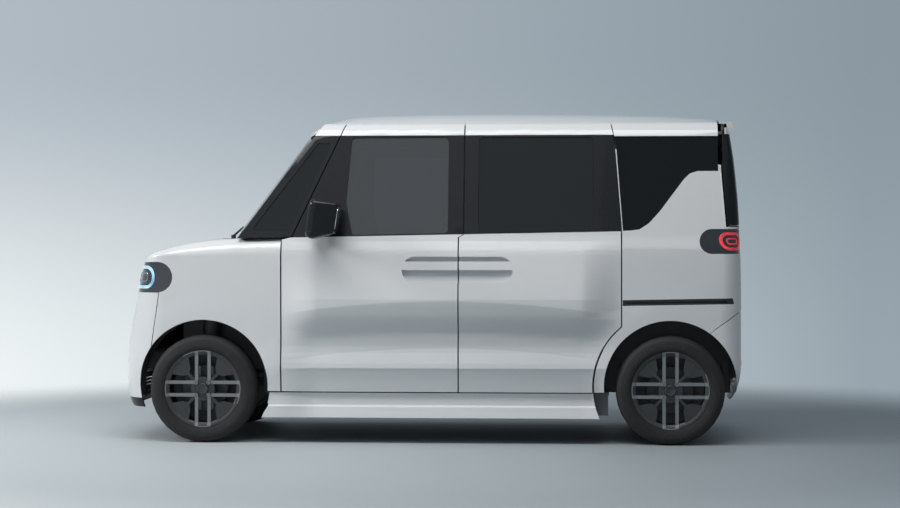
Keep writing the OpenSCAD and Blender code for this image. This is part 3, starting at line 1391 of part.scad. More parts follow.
module seat(width) {
    across(-width / 2, width / 2) {
        rounded(45) polygon([[-270, 470], [-270, 590], [210, 560], [210, 430]]);
        rounded(45) polygon([[140, 540], [280, 1130], [370, 1130], [300, 470], [180, 430]]);
    }
    across(-130, 130) rounded(35) polygon([[285, 1150], [300, 1320], [380, 1320], [370, 1150]]);
    for (y = [-60, 60]) across(y - 8, y + 8) polygon([[318, 1100], [330, 1180], [346, 1180], [334, 1100]]);
    across(-width / 2 + 60, width / 2 - 60) slab(-220, 180, floor_top, 490);
}
front_seat_x = split_x - 250;
module front_seats() {
    color("darkgray") for (s = [-1, 1]) translate([front_seat_x, s * seat_y, 0]) seat(seat_w);
}
bench_x = kick_x - 330;
module rear_bench() {
    color("darkgray") translate([bench_x, 0, 0]) seat(2 * floor_half_w - 50);
}

body_frame();
floor_pan();
battery_pack();
drive_motor();
roof_panel();
front_pillars();
front_fenders();
front_bumper();
lower_grille();
headlamps();
cowl_panel();
wipers();
windscreen();
rear_doors();
side_glass();
quarter_panels();
slide_rails();
sills();
tail_lamps();
rear_bumper();
arch_liners();
hinge_leaves();
front_suspension();
rear_axle();
dashboard();
steering_wheel();
front_seats();
rear_bench();
front_door_left();
front_door_glass_left();
mirror_left();
front_door_right();
front_door_glass_right();
mirror_right();
bonnet();
tailgate();
tailgate_glass();
knuckle_left();
knuckle_right();
rim_front_left();
tyre_front_left();
rim_front_right();
tyre_front_right();
rim_rear_left();
tyre_rear_left();
rim_rear_right();
tyre_rear_right();
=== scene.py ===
import json
import math
import bpy
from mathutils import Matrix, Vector


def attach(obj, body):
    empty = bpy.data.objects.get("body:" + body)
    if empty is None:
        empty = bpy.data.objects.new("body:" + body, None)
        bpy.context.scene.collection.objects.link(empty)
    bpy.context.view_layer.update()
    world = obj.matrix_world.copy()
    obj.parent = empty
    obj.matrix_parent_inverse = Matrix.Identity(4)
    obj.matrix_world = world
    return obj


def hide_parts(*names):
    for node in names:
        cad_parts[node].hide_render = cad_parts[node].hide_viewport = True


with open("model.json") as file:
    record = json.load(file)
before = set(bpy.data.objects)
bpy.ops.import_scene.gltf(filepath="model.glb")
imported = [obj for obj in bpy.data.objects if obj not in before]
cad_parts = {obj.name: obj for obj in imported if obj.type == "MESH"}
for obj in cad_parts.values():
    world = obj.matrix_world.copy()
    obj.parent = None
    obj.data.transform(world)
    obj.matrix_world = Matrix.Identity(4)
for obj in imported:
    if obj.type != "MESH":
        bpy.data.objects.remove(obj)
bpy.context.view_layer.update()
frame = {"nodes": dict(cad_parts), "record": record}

# Photo studio: a pale painted floor that fades out into the back wall.
# A big soft box hangs over the car, and a second one throws the shadow towards the tail.
scene = bpy.context.scene
scene.view_settings.view_transform = "Standard"


class Value:
    """A number on its way through a finish: sums with it add the nodes that work them out."""

    def __init__(self, tree, out):
        self.tree = tree
        self.out = out

    def sum_with(self, operation, other, swapped=False):
        node = self.tree.nodes.new("ShaderNodeMath")
        node.operation = operation
        for socket, part in zip(node.inputs, (other, self) if swapped else (self, other)):
            put(self.tree, socket, part)
        return Value(self.tree, node.outputs[0])

    def __add__(self, other):
        return self.sum_with("ADD", other)

    def __sub__(self, other):
        return self.sum_with("SUBTRACT", other)

    def __rsub__(self, other):
        return self.sum_with("SUBTRACT", other, True)

    def __mul__(self, other):
        return self.sum_with("MULTIPLY", other)

    __radd__ = __add__  # also lets sum() start from 0
    __rmul__ = __mul__


def put(tree, socket, part):
    if isinstance(part, Value):
        tree.links.new(part.out, socket)
    else:
        socket.default_value = part


class Finish:
    """A material under construction, opened on its main shader."""

    def __init__(self, name, **base):
        self.material = bpy.data.materials.new(name)
        self.material.use_nodes = True
        self.tree = self.material.node_tree
        self.main = self.tree.nodes["Principled BSDF"]
        self.set(**base)
        self.place = self.node("ShaderNodeTexCoord", out="Object")

    def set(self, **sockets):
        for name, part in sockets.items():
            put(self.tree, self.main.inputs[name.replace("_", " ")], part)

    def node(self, kind, settings=(), out=0, **sockets):
        node = self.tree.nodes.new(kind)
        for name, value in dict(settings).items():
            if name == "stops":
                while len(node.color_ramp.elements) < len(value):
                    node.color_ramp.elements.new(0.5)
                for element, (at, colour) in zip(node.color_ramp.elements, value):
                    element.position = at
                    element.color = (*colour, 1)
            else:
                setattr(node, name, value)
        for name, part in sockets.items():
            put(self.tree, node.inputs[name.replace("_", " ")], part)
        return Value(self.tree, node.outputs[out])

    def noise(self, scale, detail=3.0):
        return self.node("ShaderNodeTexNoise", Vector=self.place, Scale=scale, Detail=detail)

    def tint(self, factor, low, high):
        self.set(Base_Color=self.node("ShaderNodeValToRGB", {"stops": ((0, low), (1, high))}, Fac=factor))

    def grain(self, height, distance, strength=0.4):
        self.set(Normal=self.node("ShaderNodeBump", Height=height, Distance=distance, Strength=strength))


def only(obj):
    bpy.ops.object.select_all(action="DESELECT")
    obj.select_set(True)
    bpy.context.view_layer.objects.active = obj


def pick(obj, wanted):
    """Selects the faces of a piece in edit mode that a test on them accepts."""
    only(obj)
    bpy.ops.object.mode_set(mode="EDIT")
    bpy.ops.mesh.select_mode(type="FACE")
    bpy.ops.mesh.select_all(action="DESELECT")
    bpy.ops.object.mode_set(mode="OBJECT")
    for face in obj.data.polygons:
        face.select = wanted(face)
    bpy.ops.object.mode_set(mode="EDIT")


floor_r = 40.0
fade = (3.0, 5.2)
bpy.ops.object.select_all(action="DESELECT")
bpy.ops.mesh.primitive_circle_add(vertices=96, radius=floor_r, fill_type="NGON", location=(0, 0, 0))
floor = bpy.context.object
floor.name = "studio_floor"
bpy.ops.object.mode_set(mode="EDIT")
bpy.ops.mesh.inset(thickness=floor_r - fade[1])
bpy.ops.object.mode_set(mode="OBJECT")


def tone(code):
    """A colour written as six hex digits, as the shader counts it."""
    part = [int(code[i:i + 2], 16) / 255 for i in (0, 2, 4)]
    return tuple(c / 12.92 if c <= 0.04045 else ((c + 0.055) / 1.055) ** 2.4 for c in part)


paint = Finish("studio_floor_paint", Roughness=0.6)
# The floor's colour runs from pale on the left to dark grey on the right. This is painted light: the lamps' light
# falling off across the floor is painted in, under a faint random mottle.
painted_falloff_across = paint.node("ShaderNodeSeparateXYZ", Vector=paint.place)
paint.tint(painted_falloff_across * 0.12 + 0.42 + (paint.noise(0.6) - 0.5) * 0.04, tone("d3dbde"), tone("5a6772"))
away = paint.node("ShaderNodeVectorMath", {"operation": "LENGTH"}, out="Value", Vector=paint.place)
paint.set(Alpha=paint.node("ShaderNodeMapRange", {"interpolation_type": "SMOOTHSTEP"}, Value=away,
                           From_Min=fade[0], From_Max=fade[1], To_Min=1.0, To_Max=0.0))
floor.data.materials.append(paint.material)

lamps = [
    # name, place, aim, width, depth, watts, colour
    ("soft_box_above", (-0.7, -3.0, 5.2), (-0.2, -0.3, 0.8), 5.5, 2.2, 165, (1.0, 0.99, 0.97)),
    ("soft_box_nose", (-7.5, -2.4, 4.4), (-0.6, 0.0, 0.7), 2.0, 2.0, 300, (1.0, 0.99, 0.98)),
    ("fill_side", (-1.5, -10.0, 6.0), (0.0, 0.0, 0.9), 6.0, 3.0, 30, (0.96, 0.98, 1.0)),
]
for name, place, aim, width, depth, watts, colour in lamps:
    lamp = bpy.data.lights.new(name, "AREA")
    lamp.shape = "RECTANGLE"
    lamp.size = width
    lamp.size_y = depth
    lamp.energy = watts
    lamp.color = colour
    holder = bpy.data.objects.new(name, lamp)
    scene.collection.objects.link(holder)
    holder.location = place
    holder.rotation_euler = (Vector(aim) - Vector(place)).to_track_quat("-Z", "Y").to_euler()

# Air of the studio: the eye, the lacquer and the glass see a wall that is bright low on the left and darker to the
# right and higher up, and every other ray meets an even grey. The wall's bright patch low on the left is painted light,
# standing for the lamps' light on it.
world = bpy.data.worlds.new("studio_air")
world.use_nodes = True
scene.world = world
air = Finish.__new__(Finish)
air.tree = world.node_tree
aim = air.node("ShaderNodeTexCoord", out="Generated")
side = air.node("ShaderNodeSeparateXYZ", Vector=aim)
height = air.node("ShaderNodeSeparateXYZ", out=2, Vector=aim)
wall = [air.node("ShaderNodeValToRGB", {"stops": ((0, tone(left)), (1, tone(right)))}, Fac=side * 2.4 + 0.68)
        for left, right in (("eef4f5", "98a5ae"), ("b0bac3", "8b98a1"))]
blend = air.node("ShaderNodeMapRange", {"interpolation_type": "SMOOTHSTEP"}, Value=height,
                 From_Min=-0.07, From_Max=0.10)
wall = air.node("ShaderNodeMixRGB", Fac=blend, Color1=wall[0], Color2=wall[1])
eye = [air.node("ShaderNodeLightPath", out=ray) for ray in ("Is Camera Ray", "Is Glossy Ray", "Is Transmission Ray")]
seen = air.node("ShaderNodeBackground", Color=wall, Strength=1.0)
overhead = air.node("ShaderNodeMapRange", Value=height, From_Min=-0.1, From_Max=1.0, To_Min=0.03, To_Max=0.42)
plain = air.node("ShaderNodeBackground", Color=(0.72, 0.78, 0.83, 1), Strength=overhead)
both = air.tree.nodes.new("ShaderNodeMixShader")
put(air.tree, both.inputs[0], eye[0] + eye[1] + eye[2])
put(air.tree, both.inputs[1], plain)
put(air.tree, both.inputs[2], seen)
air.tree.links.new(both.outputs[0], air.tree.nodes["World Output"].inputs["Surface"])

camera = bpy.data.objects.new("camera", bpy.data.cameras.new("camera"))
scene.collection.objects.link(camera)
camera.location = (0.881, -11.363, 1.0127)
camera.rotation_euler = Vector((-0.0702, 0.9975, 0)).to_track_quat("-Z", "Y").to_euler()
camera.data.sensor_width = 36
camera.data.lens = 80.2
scene.camera = camera

# Painted shell: pressed steel panels in white lacquer under a clear coat.
# Every outer edge is hemmed, so each panel has a small round edge that catches the light.
white = Finish("white_lacquer", Roughness=0.34, Coat_Weight=1.0, Coat_Roughness=0.04, Specular_IOR_Level=0.4)
white.tint(white.noise(2.2) * 0.5 + white.noise(600) * 0.5, (0.735, 0.755, 0.775), (0.80, 0.815, 0.83))

# The press forms a shallow bowl in the lower doors, with a ledge under it and a tuck above the sill.
# Each row: lower edge, upper edge, how far the skin comes out between them, and how far the lacquer's
# bump seems to add to it. The bowl's upper edge is arched, and the form runs out at both ends of the doors.
door_press = [(0.140, 0.205, 0.000, -0.014), (0.275, 0.404, 0.014, 0.030), (0.404, 0.488, -0.010, -0.014),
              (0.490, 0.690, 0.014, 0.030), (0.510, 0.760, 0.022, 0.042), (0.770, 1.080, -0.022, -0.046)]
soft_row = 3
bowl_row = 4
bowl_arch = (0.1, 0.09)
door_ends = ((-0.80, -0.58), (0.82, 1.04))
press_rows = [0.398, 0.410, 0.482] + [0.49 + 0.02 * step for step in range(15)] + [0.80, 0.86, 0.94]
press_columns = [-0.76 + 0.06 * step for step in range(31)]
along, up = [white.node("ShaderNodeSeparateXYZ", out=axis, Vector=white.place) for axis in (0, 2)]


def rise(value, low, high, gain, way="LINEAR"):
    return white.node("ShaderNodeMapRange", {"interpolation_type": way}, Value=value, From_Min=low, From_Max=high,
                      To_Min=0.0, To_Max=gain)


doors_only = rise(along, *door_ends[0], 1.0, "SMOOTHSTEP") * (1 - rise(along, *door_ends[1], 1.0, "SMOOTHSTEP"))
arched = up + (along - bowl_arch[0]) * (along - bowl_arch[0]) * bowl_arch[1]
pressed = sum(rise(arched if row == bowl_row else up, low, high, gain, "SMOOTHSTEP" if row == soft_row else "LINEAR")
              for row, (low, high, _, gain) in enumerate(door_press)) - sum(row[3] for row in door_press)
white.grain(pressed * doors_only + white.noise(260, 1.0) * 0.00001, 1.0, 1.0)


def door_skin(x, z):
    """How far the press moves the door's outer skin at a place along the car."""
    def share(value, low, high):
        return min(max((value - low) / (high - low), 0), 1)

    out = -sum(row[2] for row in door_press)
    for row, (low, high, gain, _) in enumerate(door_press):
        out += gain * share(z + bowl_arch[1] * (x - bowl_arch[0]) ** 2 if row == bowl_row else z, low, high)
    front, rear = [share(x, *end) for end in door_ends]
    return out * front * front * (3 - 2 * front) * (1 - rear * rear * (3 - 2 * rear))


gloss = Finish("black_gloss", Roughness=0.18, Coat_Weight=0.15, Coat_Roughness=0.03, Specular_IOR_Level=0.2)
gloss.tint(gloss.noise(90), (0.010, 0.011, 0.013), (0.018, 0.019, 0.022))
body_of = {n: b for b, ns in frame["record"]["behaviour"]["bodies"].items() for n in ns}


def dressed(node, finishes, edge=0.0012, angle=34, merge=0.00004, press=None):
    """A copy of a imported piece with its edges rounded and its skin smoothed, in its finishes."""
    mesh = frame["nodes"][node].data.copy()
    mesh.materials.clear()
    piece = bpy.data.objects.new(node + "_finished", mesh)
    scene.collection.objects.link(piece)
    for finish in finishes:
        mesh.materials.append(finish.material)
    only(piece)
    bpy.ops.object.mode_set(mode="EDIT")
    bpy.ops.mesh.select_all(action="SELECT")
    bpy.ops.mesh.remove_doubles(threshold=merge)
    if press:
        for axis, places in ((2, press_rows), (0, press_columns)):
            for place in places:
                bpy.ops.mesh.select_all(action="SELECT")
                bpy.ops.mesh.bisect(plane_co=[place * (axis == a) for a in range(3)],
                                    plane_no=[float(axis == a) for a in range(3)])
    bpy.ops.object.mode_set(mode="OBJECT")
    if press:
        skin = {v for face in mesh.polygons if face.normal.y * face.center.y > 0.5 * abs(face.center.y)
                for v in face.vertices}
        for v in skin:
            at = mesh.vertices[v].co
            at.y += math.copysign(press(at.x, at.z), at.y)
    else:
        bpy.ops.object.mode_set(mode="EDIT")
        bpy.ops.mesh.select_all(action="SELECT")
        bpy.ops.mesh.dissolve_limited(angle_limit=math.radians(0.4))
        bpy.ops.object.mode_set(mode="OBJECT")
    for face in mesh.polygons:
        face.material_index = 0
    if edge:
        round_edge(piece, edge)
    bpy.ops.object.shade_smooth_by_angle(angle=math.radians(angle))
    true_skin(piece)
    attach(piece, body_of[node])
    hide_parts(node)
    return piece


def round_edge(piece, width, finish=-1, segments=2, limit=38):
    only(piece)
    hem = piece.modifiers.new("hem", "BEVEL")
    hem.width = width
    hem.segments = segments
    hem.limit_method = "ANGLE"
    hem.angle_limit = math.radians(limit)
    hem.material = finish
    bpy.ops.object.modifier_apply(modifier=hem.name)


def true_skin(piece):
    """Lets the large faces set the shading, so the round of an edge doesn't bleed into a panel."""
    only(piece)
    flat = piece.modifiers.new("flat", "WEIGHTED_NORMAL")
    flat.keep_sharp = True
    bpy.ops.object.modifier_apply(modifier=flat.name)


def split_black(piece, low, lean, high):
    """Cuts a panel at the sill line and at the roof seam and turns the part between them black."""
    only(piece)
    for place, normal in (((0, 0, low), (-lean, 0, 1)), ((0, 0, high), (0, 0, 1))):
        bpy.ops.object.mode_set(mode="EDIT")
        bpy.ops.mesh.select_all(action="SELECT")
        bpy.ops.mesh.bisect(plane_co=place, plane_no=normal)
        bpy.ops.object.mode_set(mode="OBJECT")
    for face in piece.data.polygons:
        if low + lean * face.center.x < face.center.z < high:
            face.material_index = 1


def line_inside(piece, finish, facing):
    """Covers the faces that a test on their place and normal accepts, with what they carry on the inside."""
    piece.data.materials.append(finish.material)
    for face in piece.data.polygons:
        if facing(face.center, face.normal):
            face.material_index = len(piece.data.materials) - 1


trim = Finish("door_trim", Roughness=0.6)
trim.tint(trim.noise(55), (0.045, 0.047, 0.05), (0.075, 0.078, 0.082))
trim.grain(trim.noise(700, 1.0), 0.0004, 0.35)
lining = Finish("roof_lining", Roughness=0.95)
lining.tint(lining.noise(500), (0.30, 0.30, 0.29), (0.42, 0.42, 0.41))
lining.grain(lining.noise(900, 1.0), 0.0005, 0.4)
belt_z = 1.114
belt_lean = 0.018
roof_seam_z = 1.651
cabin_side = 0.55


def turned_in(at, out):
    """Tells the faces of a skin that look into the car, which are black behind a bumper or in an arch."""
    share = -0.3
    return out.y * at.y < share * abs(at.y) or out.x * at.x < share * abs(at.x)


for node in ("sills", "bonnet"):
    dressed(node, [white])
line_inside(dressed("front_fenders", [white]), gloss, turned_in)
lip_z = 0.235
for node in ("front_bumper", "rear_bumper"):
    panel = dressed(node, [white, gloss])
    split_black(panel, 0.0, 0, lip_z)
    line_inside(panel, gloss, turned_in)
line_inside(dressed("roof_panel", [white]), lining, lambda at, out: out.z < -0.5)
line_inside(dressed("tailgate", [white]), trim, lambda at, out: out.x < -0.4)
quarter = dressed("quarter_panels", [white])
trim_foot_z = 0.7
line_inside(quarter, trim, lambda at, out: out.y * at.y < -cabin_side * abs(at.y) and at.z > trim_foot_z)
line_inside(quarter, gloss, lambda at, out: out.y * at.y < -cabin_side * abs(at.y) and at.z <= trim_foot_z)

# The quarter's foot runs forward to the round corner of the rear door, so its front edge is drawn out to an arc.
foot_x = 0.946
foot_r = 0.404
foot_rows = [0.29 + 0.03 * step for step in range(8)]
edge_depth = 0.0018
arch = (1.300, 0.3075)
bpy.ops.object.mode_set(mode="EDIT")
for row in foot_rows:
    bpy.ops.mesh.select_all(action="SELECT")
    bpy.ops.mesh.bisect(plane_co=(0, 0, row), plane_no=(0, 0, 1))
bpy.ops.object.mode_set(mode="OBJECT")
for vertex in quarter.data.vertices:
    at = vertex.co
    if at.x < foot_x + edge_depth and abs(at.z - arch[1]) < foot_r:
        at.x += min(arch[0] - math.sqrt(foot_r ** 2 - (at.z - arch[1]) ** 2) - foot_x, 0)
true_skin(quarter)
for node in ("front_door_left", "front_door_right", "rear_doors"):
    panel = dressed(node, [white, gloss], press=door_skin)
    split_black(panel, belt_z, belt_lean, roof_seam_z)
    line_inside(panel, trim, lambda at, out: out.y * at.y < -cabin_side * abs(at.y))
split_black(dressed("front_pillars", [white, gloss]), 1.0, 0, roof_seam_z)

# Glazing: tempered side panes, dark behind the front seats, and a laminated windscreen.
# Every pane is bonded into its frame, and the tint is in the glass itself.
def glass(name, colour, alpha, shine=0.5):
    pane = Finish(name, Base_Color=(*colour, 1), Roughness=0.02, Coat_Weight=0.4 * shine, Coat_Roughness=0.02,
                  Specular_IOR_Level=shine)
    pane.set(Alpha=alpha + (pane.noise(1.4) - 0.5) * 0.06)
    return pane


dark = glass("dark_pane", (0.006, 0.008, 0.010), 0.965, 0.25)
tinted = glass("tinted_pane", (0.016, 0.020, 0.024), 0.70, 0.9)
clear = glass("clear_pane", (0.10, 0.115, 0.125), 0.46)
dressed("side_glass", [dark], 0.0006)
dressed("tailgate_glass", [dark], 0.0006)
for node in ("front_door_glass_left", "front_door_glass_right"):
    dressed(node, [tinted], 0.0006)
dressed("windscreen", [clear], 0.0006)

# Black plastic: moulded and grained cowl, grille, track covers and arch liners, clipped into the panels.
plastic = Finish("grained_plastic", Roughness=0.55)
plastic.tint(plastic.noise(40), (0.016, 0.017, 0.018), (0.030, 0.031, 0.033))
plastic.grain(plastic.noise(900, 1.0), 0.0004, 0.35)
for node in ("cowl_panel", "wipers", "lower_grille", "slide_rails", "arch_liners"):
    dressed(node, [plastic], 0.0008)

# Splash shields: sheets of black plastic with a turned edge, one ahead of and one behind each rear wheel.
# They close the arch liners' lower ends on the inside, and are clipped to the floor's edge.
shield_y = 0.548
shield_z = 0.360
shield_h = 0.18
for name, middle, length in (("front", 0.990, 0.10), ("rear", 1.600, 0.05)):
    for hand in (-1, 1):
        bpy.ops.object.select_all(action="DESELECT")
        bpy.ops.mesh.primitive_plane_add(size=1, location=(middle, hand * shield_y, shield_z),
                                         rotation=(-hand * math.pi / 2, 0, 0))
        shield = bpy.context.object
        shield.name = "splash_shield_%s_%s" % (name, "left" if hand < 0 else "right")
        shield.scale = (length, shield_h, 1)
        bpy.ops.object.transform_apply(location=True, rotation=True, scale=True)
        bpy.ops.object.mode_set(mode="EDIT")
        bpy.ops.mesh.select_all(action="SELECT")
        bpy.ops.mesh.inset(thickness=0.010, depth=0.004)
        bpy.ops.mesh.bevel(offset=0.004, segments=2, affect="EDGES")
        bpy.ops.object.mode_set(mode="OBJECT")
        wall = shield.modifiers.new("wall", "SOLIDIFY")
        wall.thickness = 0.003
        bpy.ops.object.modifier_apply(modifier=wall.name)
        shield.data.materials.append(plastic.material)
        bpy.ops.object.shade_smooth_by_angle(angle=math.radians(30))
        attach(shield, "body")

# Door mirrors: a gloss black shell, with a silvered pane in the face that looks back.
# The pane has a ground edge and is held in the shell by a thin rim.
silver = Finish("silvered_pane", Roughness=0.03, Metallic=1.0)
silver.tint(silver.noise(12), (0.72, 0.74, 0.76), (0.80, 0.82, 0.84))
pane_at = (-0.4558, 0.8335, 1.200)
pane_size = (0.118, 0.134)
pane_lean = math.atan2(20, 134)
for side, body in ((-1, "door_left"), (1, "door_right")):
    node = "mirror_" + body[5:]
    dressed(node, [gloss], 0.0)
    bpy.ops.object.select_all(action="DESELECT")
    bpy.ops.mesh.primitive_plane_add(size=1, location=(pane_at[0], side * pane_at[1], pane_at[2]),
                                     rotation=(0, math.pi / 2 + pane_lean, 0))
    pane = bpy.context.object
    pane.name = node + "_pane"
    pane.scale = (pane_size[0], pane_size[1], 1)
    bpy.ops.object.transform_apply(location=False, rotation=False, scale=True)
    bpy.ops.object.mode_set(mode="EDIT")
    bpy.ops.mesh.bevel(offset=0.024, segments=6, affect="VERTICES")
    bpy.ops.mesh.select_all(action="SELECT")
    bpy.ops.mesh.extrude_region_move(TRANSFORM_OT_translate={
        "value": (0.0022 * math.cos(pane_lean), 0, -0.0022 * math.sin(pane_lean))})
    bpy.ops.mesh.inset(thickness=0.003, depth=0.0006)
    bpy.ops.mesh.select_all(action="SELECT")
    bpy.ops.mesh.normals_make_consistent(inside=False)
    bpy.ops.object.mode_set(mode="OBJECT")
    bpy.ops.object.transform_apply(location=True, rotation=True, scale=True)
    pane.data.materials.append(silver.material)
    bpy.ops.object.shade_smooth_by_angle(angle=math.radians(20))
    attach(pane, body)

# Lamps: a dark smoked lens over each housing, with a light ring moulded behind it.
# The head lamp's ring shines pale blue, the tail lamp's is red.
smoked = Finish("smoked_lens", Roughness=0.06, Coat_Weight=1.0, Coat_Roughness=0.02)
smoked.tint(smoked.noise(30), (0.010, 0.012, 0.016), (0.022, 0.027, 0.036))
head_lens = dressed("headlamps", [smoked], 0.0015)
tail_lens = dressed("tail_lamps", [smoked], 0.0015)


def light_band(name, lens, centre, size, band, turn, finish, body="body"):
    """A rounded frame of light, cut from a flat sheet and pressed onto the lens along its own normal."""
    bpy.ops.object.select_all(action="DESELECT")
    bpy.ops.mesh.primitive_plane_add(size=1, location=centre, rotation=(math.pi / 2, 0, turn))
    ring = bpy.context.object
    ring.name = name
    ring.scale = (*size, 1)
    bpy.ops.object.transform_apply(location=False, rotation=False, scale=True)
    bpy.ops.object.mode_set(mode="EDIT")
    bpy.ops.mesh.bevel(offset=0.46 * min(size), segments=8, affect="VERTICES")
    bpy.ops.mesh.select_mode(type="FACE")
    bpy.ops.mesh.select_all(action="SELECT")
    bpy.ops.mesh.inset(thickness=band)
    bpy.ops.mesh.delete(type="FACE")
    bpy.ops.mesh.select_all(action="SELECT")
    bpy.ops.mesh.subdivide(number_cuts=3)
    bpy.ops.object.mode_set(mode="OBJECT")
    press = ring.modifiers.new("press", "SHRINKWRAP")
    press.target = lens
    press.wrap_method = "PROJECT"
    press.use_project_z = True
    press.use_negative_direction = True
    press.use_positive_direction = False
    press.offset = 0.0008
    bpy.ops.object.modifier_apply(modifier=press.name)
    wall = ring.modifiers.new("wall", "SOLIDIFY")
    wall.thickness = 0.0025
    wall.offset = 1
    bpy.ops.object.modifier_apply(modifier=wall.name)
    round_edge(ring, 0.0008)
    bpy.ops.object.transform_apply(location=True, rotation=True, scale=True)
    ring.data.materials.append(finish.material)
    bpy.ops.object.shade_smooth_by_angle(angle=math.radians(35))
    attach(ring, body)
    return ring


blue = Finish("pale_blue_light", Roughness=0.2, Coat_Weight=0.6, Emission_Strength=0.75)
glow = blue.node("ShaderNodeValToRGB", {"stops": ((0.3, tone("5d8fb0")), (0.7, tone("b4d6ea")))}, Fac=blue.noise(18))
blue.set(Base_Color=glow, Emission_Color=glow)
# The red glows. In the tail lamps this is lamp light; on the bumper's reflectors, which are no lamps, it is a painted
# glow.
red = Finish("red_light", Roughness=0.18, Coat_Weight=0.6, Emission_Strength=0.55)
glow = red.node("ShaderNodeValToRGB", {"stops": ((0.3, tone("a51a26")), (0.7, tone("e2404c")))}, Fac=red.noise(18))
red.set(Base_Color=glow, Emission_Color=glow)
chrome = Finish("lamp_reflector", Roughness=0.2, Metallic=0.9)
chrome.tint(chrome.noise(40), (0.22, 0.25, 0.29), (0.42, 0.46, 0.5))
for side, name in ((-1, "left"), (1, "right")):
    turn = math.radians(-37)
    light_band("head_ring_" + name, head_lens, (-1.642, side * 0.747, 0.888), (0.215, 0.124), 0.017,
               turn if side < 0 else math.pi - turn, blue)
    light_band("head_inner_" + name, head_lens, (-1.642, side * 0.747, 0.888), (0.125, 0.056), 0.009,
               turn if side < 0 else math.pi - turn, chrome)
    turn = math.radians(40)
    light_band("tail_ring_" + name, tail_lens, (1.694, side * 0.755, 1.079), (0.125, 0.096), 0.015,
               turn if side < 0 else math.pi - turn, red)
    light_band("tail_inner_" + name, tail_lens, (1.694, side * 0.755, 1.079), (0.066, 0.036), 0.008,
               turn if side < 0 else math.pi - turn, red)

# Tail trim: a frame-shaped pull across the tailgate for the fingers, and two red reflectors in the bumper.
# They are moulded in one piece each and pressed onto the panel's curve.
rear = math.pi / 2
light_band("tailgate_pull", bpy.data.objects["tailgate_finished"], (1.78, 0, 0.945), (0.56, 0.062), 0.018, rear,
           gloss, "tailgate")
# The reflectors wear the tail lamps' glowing red, a painted glow, since a reflector gives no light of its own.
for side, name in ((-1, "left"), (1, "right")):
    light_band("reflector_" + name, bpy.data.objects["rear_bumper_finished"], (1.78, side * 0.50, 0.43),
               (0.120, 0.030), 0.0125, rear, red)

# Running gear: steel frame, floor, axles and the heavy units below the floor.
# Dipped in dull primer, with bare machined pins and knuckles.
steel = Finish("primed_steel", Roughness=0.55, Metallic=0.35)
steel.tint(steel.noise(7), (0.10, 0.105, 0.11), (0.17, 0.175, 0.18))
bare = Finish("machined_steel", Roughness=0.32, Metallic=0.9)
bare.tint(bare.noise(25), (0.32, 0.33, 0.34), (0.5, 0.5, 0.5))
case = Finish("battery_case", Roughness=0.5, Metallic=0.5)
case.tint(case.noise(14), (0.20, 0.21, 0.22), (0.30, 0.31, 0.32))
for node in ("body_frame", "floor_pan", "front_suspension", "rear_axle"):
    dressed(node, [steel], 0.0015)
for node in ("hinge_leaves", "knuckle_left", "knuckle_right"):
    dressed(node, [bare], 0.0006)
for node in ("battery_pack", "drive_motor"):
    dressed(node, [case], 0.006)

# Wheels: cast alloy in dark grey, with the faces of the spokes and the rim's lip cut bright on a lathe, and a painted
# highlight: every rounded edge of the rim gets the same bright finish.
# Four nuts with a cone seat hold each wheel, and a pressed cap closes the hub.
alloy = Finish("dark_alloy", Roughness=0.4, Metallic=0.5)
alloy.tint(alloy.noise(60), (0.045, 0.046, 0.05), (0.075, 0.076, 0.081))
cut = Finish("cut_face_and_edge_highlight", Roughness=0.3, Metallic=0.6)
cut.tint(cut.noise(200), (0.20, 0.205, 0.21), (0.30, 0.305, 0.31))
wheels = {"front_left": (-1.2, -1), "front_right": (-1.2, 1), "rear_left": (1.3, -1), "rear_right": (1.3, 1)}
axle_z = 0.2895
track_half = 0.645
spoke_gap = 0.034
spoke_half = 0.009
hub_reach = 0.055
lip_r = 0.198
for wheel, (x, side) in wheels.items():
    rim = dressed("rim_" + wheel, [alloy, cut], 0.0)
    bpy.ops.object.mode_set(mode="EDIT")
    for axis, middle in ((0, x), (2, axle_z)):
        for shift in [way * spoke_gap + edge * spoke_half for way in (-1, 1) for edge in (-1, 1)]:
            bpy.ops.mesh.select_all(action="SELECT")
            bpy.ops.mesh.bisect(plane_co=[(middle + shift) * (axis == a) for a in range(3)],
                                plane_no=[float(axis == a) for a in range(3)])
    bpy.ops.object.mode_set(mode="OBJECT")
    for face in rim.data.polygons:
        out = [abs(face.center.x - x), abs(face.center.z - axle_z)]
        on_spoke = any(abs(a - spoke_gap) < spoke_half and b > hub_reach for a, b in (out, out[::-1]))
        if face.normal.y * side > 0.9 and (on_spoke or math.hypot(*out) > lip_r):
            face.material_index = 1
    # Every rounded edge of the rim takes the bright finish, which is a painted highlight along the edges.
    round_edge(rim, 0.0016, 1, 2, 60)
face_y = -track_half - 0.0655
nut_ring = 0.047
cap_r = 0.030
first_x = wheels["front_left"][0]
bpy.ops.object.select_all(action="DESELECT")
bpy.ops.mesh.primitive_cylinder_add(vertices=6, radius=0.0115, depth=0.018,
                                    location=(first_x + nut_ring, face_y - 0.0085, axle_z),
                                    rotation=(math.pi / 2, 0, 0))
nuts = bpy.context.object
nuts.name = "wheel_nuts_front_left"
bpy.ops.object.transform_apply(location=True, rotation=True, scale=True)
pick(nuts, lambda face: face.normal.y < -0.9)
bpy.ops.mesh.inset(thickness=0.0035)
bpy.ops.mesh.extrude_region_move(TRANSFORM_OT_translate={"value": (0, 0.006, 0)})
bpy.ops.mesh.select_all(action="SELECT")
bpy.ops.transform.rotate(value=math.radians(45), orient_axis="Y", center_override=(first_x, face_y, axle_z))
bpy.ops.mesh.spin(steps=4, dupli=True, angle=2 * math.pi, center=(first_x, face_y, axle_z), axis=(0, 1, 0))
bpy.ops.mesh.select_all(action="SELECT")
